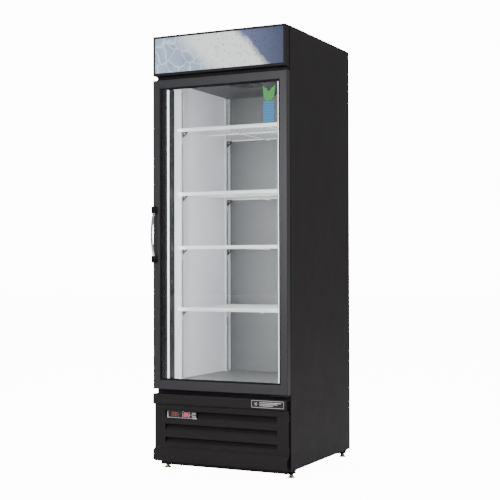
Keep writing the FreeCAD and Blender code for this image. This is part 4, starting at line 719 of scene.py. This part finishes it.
class MERCHANDISER_OT_stickers(bpy.types.Operator):
    """Builds the plain two-part film sticker on the glass"""
    bl_idname = "merchandiser.stickers"
    bl_label = "Glass stickers"

    def execute(self, context):
        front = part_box("glass_panes")[0].y
        for row, (name, maker, outline, (x, z)) in enumerate(STICKERS):
            mesh = bmesh.new()
            near = front - row * FILM * MM
            rings = [[Vector(((x + px) * MM, y, (z + pz) * MM)) for px, pz in outline]
                     for y in (near, near - FILM * MM)]
            loft(mesh, rings)
            piece = placed(name, mesh, maker, "door")
            eased = piece.modifiers.new("eased", "BEVEL")
            eased.affect = "VERTICES"
            eased.width = 3 * MM
            eased.segments = 3
        return {"FINISHED"}


def bar(mesh, near, far, width, front, depth):
    """A flat bar with eased ends between two points (x, z) on an upright face."""
    along = Vector((far[0] - near[0], 0, far[1] - near[1]))
    length = along.length
    along.normalize()
    side = Vector((-along.z, 0, along.x)) * width / 2
    origin = Vector((near[0], front, near[1]))
    rings = []
    for inset, y in ((0, 0), (0, -depth * 0.6), (width / 5, -depth)):
        share = 1 - 2 * inset / width
        outline = ((inset, share), (inset + width / 4, share), (length - width / 4 - inset, share),
                   (length - inset, 0), (length - width / 4 - inset, -share), (inset + width / 4, -share),
                   (inset, 0))
        rings.append([origin + along * step + side * way + Vector((0, y, 0)) for step, way in outline])
    loft(mesh, rings)


SEGMENTS = {"a": ((0, 2), (1, 2)), "b": ((1, 1), (1, 2)), "c": ((1, 0), (1, 1)), "d": ((0, 0), (1, 0)),
            "e": ((0, 0), (0, 1)), "f": ((0, 1), (0, 2)), "g": ((0, 1), (1, 1))}
DIGITS = ("abcdg", "abcdefg", "dg")


class MERCHANDISER_OT_controller(bpy.types.Operator):
    """Builds the controller's bright trim and its lit digits"""
    bl_idname = "merchandiser.controller"
    bl_label = "Controller"

    def execute(self, context):
        low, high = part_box("controller_bezel")
        trim = sizes().trim
        mesh = bmesh.new()
        rocker_low, rocker_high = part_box("rocker_switch")
        middle = (low.z + high.z) / 2
        bar(mesh, (low.x + 2 * trim, low.z), (low.x + 2 * trim, high.z - 2 * trim),
            2.6 * trim, low.y, trim / 2)
        bar(mesh, (low.x, low.z + trim / 2), (high.x, low.z + trim / 2), 1.3 * trim, low.y, trim / 2)
        for x in (rocker_low.x - 1.5 * trim, rocker_high.x + 1.5 * trim):
            bar(mesh, (x, low.z + 2 * trim), (x, high.z - 2 * trim), 1.6 * trim, low.y, trim / 2)
        bar(mesh, (rocker_high.x + 2 * trim, middle), (high.x - 14 * trim, middle), trim, low.y, trim / 2)
        placed("controller_trim", mesh, steel_chrome_plated, "cabinet")
        glass_low, glass_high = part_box("controller_display")
        tall = sizes().digit / 2
        wide = tall * 0.9
        mesh = bmesh.new()
        for place, lit in enumerate(DIGITS):
            x = glass_low.x + 9 * MM + place * 2.2 * wide
            for name in lit:
                (x0, z0), (x1, z1) = SEGMENTS[name]
                bar(mesh, (x + x0 * wide, middle + (z0 - 1) * tall),
                    (x + x1 * wide, middle + (z1 - 1) * tall),
                    tall / 4, glass_low.y, 0.1 * MM)
        placed("display_digits", mesh, led_segments_red, "cabinet")
        return {"FINISHED"}


class MERCHANDISER_OT_badge(bpy.types.Operator):
    """Builds the badge's dark field and its plain frost motif"""
    bl_idname = "merchandiser.badge"
    bl_label = "Badge"

    def execute(self, context):
        low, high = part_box("badge_plate")
        trim = sizes().trim
        middle = (low + high) / 2
        wide = high.x - low.x - 3 * trim
        tall = high.z - low.z - 3 * trim
        mesh = bmesh.new()
        plate(mesh, Vector((middle.x, low.y, middle.z)), wide, tall, trim / 3, trim, trim / 9)
        placed("badge_field", mesh, abs_bezel_moulded, "cabinet")
        mesh = bmesh.new()
        face = low.y - trim / 3
        reach = tall * 0.38
        centre = low.x + tall * 0.8
        for arm in range(6):
            turn = math.radians(60 * arm)
            bar(mesh, (centre, middle.z),
                (centre + reach * math.cos(turn), middle.z + reach * math.sin(turn)),
                trim, face, trim / 4)
        for row, share in enumerate((0.95, 0.8, 0.6)):
            z = middle.z + (1 - row) * tall * 0.24
            bar(mesh, (centre + 1.6 * reach, z), (centre + 1.6 * reach + share * (wide - 4 * reach), z),
                1.6 * trim, face, trim / 4)
        placed("badge_motif", mesh, aluminium_brushed, "cabinet")
        return {"FINISHED"}


PAD_HEIGHT = 6 * MM
PAD_EASE = 1.2 * MM
PAD_TAPER = 2.4 * MM
COLLAR_RADIUS = 11 * MM
COLLAR_TOP = 14 * MM
THREAD_CREST = 6 * MM


class MERCHANDISER_OT_feet(bpy.types.Operator):
    """Builds the levelling feet with turned pads, six-sided collars and threads"""
    bl_idname = "merchandiser.feet"
    bl_label = "Levelling feet"

    def execute(self, context):
        for node in FEET:
            low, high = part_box(node)
            centre = (low + high) / 2
            radius = (high.x - low.x) / 2
            neck = low.z + PAD_HEIGHT
            top = low.z + COLLAR_TOP
            flat = COLLAR_RADIUS - MM
            mesh = bmesh.new()
            turned(mesh, centre, ((radius * 0.94, low.z), (radius, low.z + PAD_EASE),
                                  (radius - PAD_TAPER, neck - MM), (radius - 4 * MM, neck)))
            turned(mesh, centre, ((flat, neck), (COLLAR_RADIUS, neck + MM),
                                  (COLLAR_RADIUS, top - MM), (flat, top)), 6)
            pitch = sizes().thread
            rings = []
            for row in range(int((high.z - low.z - COLLAR_TOP) / (pitch / 2))):
                rings.append((THREAD_CREST - (row % 2) * pitch * 0.4, top + row * pitch / 2))
            turned(mesh, centre, rings)
            piece = placed(node + "_threaded", mesh, brass_plated, frame_body(node))
            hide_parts(node)
        return {"FINISHED"}


def frame_body(node):
    """The body that holds a node."""
    bodies = frame["record"]["behaviour"]["bodies"]
    return next(body for body, nodes in bodies.items() if node in nodes)


SHELF_STRIP = 17 * MM


class MERCHANDISER_OT_shelf_noses(bpy.types.Operator):
    """Builds the rounded plastic nose along the front strip of each shelf"""
    bl_idname = "merchandiser.shelf_noses"
    bl_label = "Shelf noses"

    def execute(self, context):
        reach = sizes().nose
        for number in SHELVES:
            node = "shelf_%d" % number
            low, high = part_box(node)
            bottom = high.z - SHELF_STRIP
            rings = []
            for x, share in ((low.x, 0.35), (low.x + 2 * reach, 0.8), (low.x + 5 * reach, 1.0),
                             (high.x - 2 * reach, 1.0), (high.x, 0.5)):
                middle = (bottom + high.z) / 2
                half = (high.z - bottom) / 2
                arc = [math.radians(90 - 20 * step) for step in range(10)]
                ring = [Vector((x, low.y - reach * share * max(math.cos(turn), 0) ** 0.5,
                                middle + half * math.sin(turn))) for turn in arc]
                rings.append([Vector((x, low.y, high.z))] + ring[1:-1] + [Vector((x, low.y, bottom))])
            mesh = bmesh.new()
            loft(mesh, rings)
            placed(node + "_nose", mesh, wire_plastic_coated, frame_body(node))
        return {"FINISHED"}


RAIL_DEPTH = 8 * MM
RAIL_BACK_WIDTH = 21 * MM
RAIL_MIDDLE = 12.5 * MM
CLIP_ZONE = 45 * MM


class MERCHANDISER_OT_rail_backs(bpy.types.Operator):
    """Builds the dark strips seen through the slots of the shelf rails"""
    bl_idname = "merchandiser.rail_backs"
    bl_label = "Rail backs"

    def execute(self, context):
        low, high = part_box("pilasters")
        reach = RAIL_DEPTH - 2 * MM
        levels = sorted(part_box("shelf_%d" % number)[0].z for number in SHELVES)
        starts = [low.z + MM] + levels
        ends = [level - CLIP_ZONE for level in levels] + [high.z - MM]
        mesh = bmesh.new()
        for y in (low.y + RAIL_MIDDLE, high.y - RAIL_MIDDLE):
            for x, way in ((low.x, 1), (high.x, -1)):
                outline = [(x + way * reach + px, y + py)
                           for px, py in rounded(0.5 * MM, RAIL_BACK_WIDTH, 0.2 * MM)]
                for near, far in zip(starts, ends):
                    loft(mesh, [[Vector((px, py, z)) for px, py in outline] for z in (near, far)])
        placed("rail_backs", mesh, pvc_black_extruded, "cabinet")
        return {"FINISHED"}


MOUNT_HEIGHT = 34 * MM
COLLAR_OUTER = (15 * MM, 11 * MM, 3 * MM)
COLLAR_INNER = (13 * MM, 9 * MM, 2.5 * MM)


class MERCHANDISER_OT_handle_collars(bpy.types.Operator):
    """Builds the bright collars where the pull bar enters its mounts"""
    bl_idname = "merchandiser.handle_collars"
    bl_label = "Handle collars"

    def execute(self, context):
        low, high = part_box("handle_mounts")
        bar_low, bar_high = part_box("door_handle")
        x = (bar_low.x + bar_high.x) / 2
        y = low.y + 5 * MM
        mesh = bmesh.new()
        for z, way in ((low.z + MOUNT_HEIGHT, 1), (high.z - MOUNT_HEIGHT, -1)):
            outer = rounded(*COLLAR_OUTER)
            inner = rounded(*COLLAR_INNER)
            rows = ((outer, z), (outer, z + way * 1.5 * MM), (inner, z + way * 2.5 * MM), (inner, z))
            rings = [[Vector((x + px, y + py, level)) for px, py in points] for points, level in rows]
            loft(mesh, rings, closed=True)
        placed("handle_collars", mesh, steel_chrome_plated, "door")
        return {"FINISHED"}


# ---- stage ----

CAMERA_DISTANCE = 5.4827
CAMERA_HEIGHT = 0.94654
CAMERA_SIDE = math.radians(25.98)
CAMERA_YAW = math.radians(26.14)
CAMERA_PITCH = math.radians(90.86)
CAMERA_ROLL = math.radians(-0.14)
CAMERA_LENS = 81.515
SENSOR_WIDTH = 36.0
FLOOR_SIZE = 60
FLOOR_GLOW = 13.0
BACKDROP_GLOW = 14.0
ROOM_LIGHT = 0.32
STRIP_POWER = 7

def area(name, place, target, width, height, power):
    light = bpy.data.lights.new(name, "AREA")
    light.shape = "RECTANGLE"
    light.size = width
    light.size_y = height
    light.energy = power
    lamp = bpy.data.objects.new(name, light)
    lamp.location = place
    lamp.rotation_euler = (Vector(target) - Vector(place)).to_track_quat("-Z", "Y").to_euler()
    bpy.context.scene.collection.objects.link(lamp)


def studio_floor_matt():
    """Seamless studio paper: pale and matt, with slow unevenness; it glows for camera rays only."""
    material, tree, shader, place = start("studio_floor_matt", linear("#F6F6F6"), 0.7)
    cloud = add(tree, "ShaderNodeTexNoise", {"Vector": place, "Scale": per_metre(700), "Detail": 3.0})
    add(tree, "ShaderNodeMix", {0: cloud, 6: linear("#F4F4F4"), 7: linear("#FAFAFA")}, MIX_RESULT,
        shader.inputs["Base Color"], data_type="RGBA")
    path = add(tree, "ShaderNodeLightPath")
    add(tree, "ShaderNodeMapRange", {"Value": path, "To Max": FLOOR_GLOW}, 0,
        shader.inputs["Emission Strength"])
    return material


def make_world():
    world = bpy.data.worlds.new("studio")
    world.use_nodes = True
    tree = world.node_tree
    path = add(tree, "ShaderNodeLightPath")
    background = tree.nodes["Background"].inputs
    add(tree, "ShaderNodeMapRange", {"Value": path, "To Min": ROOM_LIGHT, "To Max": BACKDROP_GLOW}, 0,
        background["Strength"])
    background["Color"].default_value = (1, 1, 1, 1)
    bpy.context.scene.world = world


class MERCHANDISER_OT_stage(bpy.types.Operator):
    """Builds the floor, the camera and the lights"""
    bl_idname = "merchandiser.stage"
    bl_label = "Stage"

    def execute(self, context):
        bpy.ops.mesh.primitive_plane_add(size=FLOOR_SIZE, location=(0, 0, CAD_BOX[0].z))
        floor = bpy.context.object
        floor.name = "studio_floor"
        floor.data.materials.append(studio_floor_matt())
        camera = bpy.data.objects.new("camera", bpy.data.cameras.new("camera"))
        context.scene.collection.objects.link(camera)
        camera.data.lens = CAMERA_LENS
        camera.data.sensor_width = SENSOR_WIDTH
        camera.location = (CAMERA_DISTANCE * math.sin(CAMERA_SIDE), -CAMERA_DISTANCE * math.cos(CAMERA_SIDE),
                           CAMERA_HEIGHT)
        turn = Matrix.Rotation(CAMERA_YAW, 4, "Z") @ Matrix.Rotation(CAMERA_PITCH, 4, "X")
        camera.rotation_euler = (turn @ Matrix.Rotation(CAMERA_ROLL, 4, "Z")).to_euler()
        context.scene.camera = camera
        area("softbox_front", (-0.55, -3.4, 1.6), (0.1, 0, 1.3), 0.8, 1.3, 40)
        area("softbox_right", (4.5, -0.5, 2.6), (0.3, 0, 1.0), 2.2, 2.2, 25)
        area("softbox_top", (0, 0, 5.5), (0, 0, 0), 6.0, 6.0, 330)
        make_world()
        low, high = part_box("led_lenses")
        middle = (low.z + high.z) / 2
        for way in (-1, 1):
            area("led_strip", (way * (high.x - 0.02), high.y + 0.05, middle), (0, high.y + 0.4, middle),
                 0.008, high.z - low.z, STRIP_POWER)
        return {"FINISHED"}


class MERCHANDISER_PT_panel(bpy.types.Panel):
    """Lists the sizes, colours and pieces of the merchandiser"""
    bl_label = "Glass door merchandiser"
    bl_idname = "MERCHANDISER_PT_panel"
    bl_space_type = "VIEW_3D"
    bl_region_type = "UI"
    bl_category = "Merchandiser"

    def draw(self, context):
        for group in (context.scene.merchandiser_sizes, context.scene.merchandiser_colours):
            for name in group.__annotations__:
                self.layout.prop(group, name)
        for piece in OPERATORS:
            self.layout.operator(piece.bl_idname)


OPERATORS = (
    MERCHANDISER_OT_finishes,
    MERCHANDISER_OT_seal,
    MERCHANDISER_OT_beads,
    MERCHANDISER_OT_stickers,
    MERCHANDISER_OT_controller,
    MERCHANDISER_OT_badge,
    MERCHANDISER_OT_feet,
    MERCHANDISER_OT_shelf_noses,
    MERCHANDISER_OT_rail_backs,
    MERCHANDISER_OT_handle_collars,
    MERCHANDISER_OT_stage,
)
CLASSES = (MerchandiserSizes, MerchandiserColours) + OPERATORS + (MERCHANDISER_PT_panel,)


def register():
    for kind in CLASSES:
        bpy.utils.register_class(kind)
    bpy.types.Scene.merchandiser_sizes = PointerProperty(type=MerchandiserSizes)
    bpy.types.Scene.merchandiser_colours = PointerProperty(type=MerchandiserColours)


def unregister():
    del bpy.types.Scene.merchandiser_colours
    del bpy.types.Scene.merchandiser_sizes
    for kind in reversed(CLASSES):
        bpy.utils.unregister_class(kind)


def main():
    register()
    bpy.ops.merchandiser.finishes()
    bpy.ops.merchandiser.seal()
    bpy.ops.merchandiser.beads()
    bpy.ops.merchandiser.stickers()
    bpy.ops.merchandiser.controller()
    bpy.ops.merchandiser.badge()
    bpy.ops.merchandiser.feet()
    bpy.ops.merchandiser.shelf_noses()
    bpy.ops.merchandiser.rail_backs()
    bpy.ops.merchandiser.handle_collars()
    bpy.ops.merchandiser.stage()


if __name__ == "__main__":
    main()
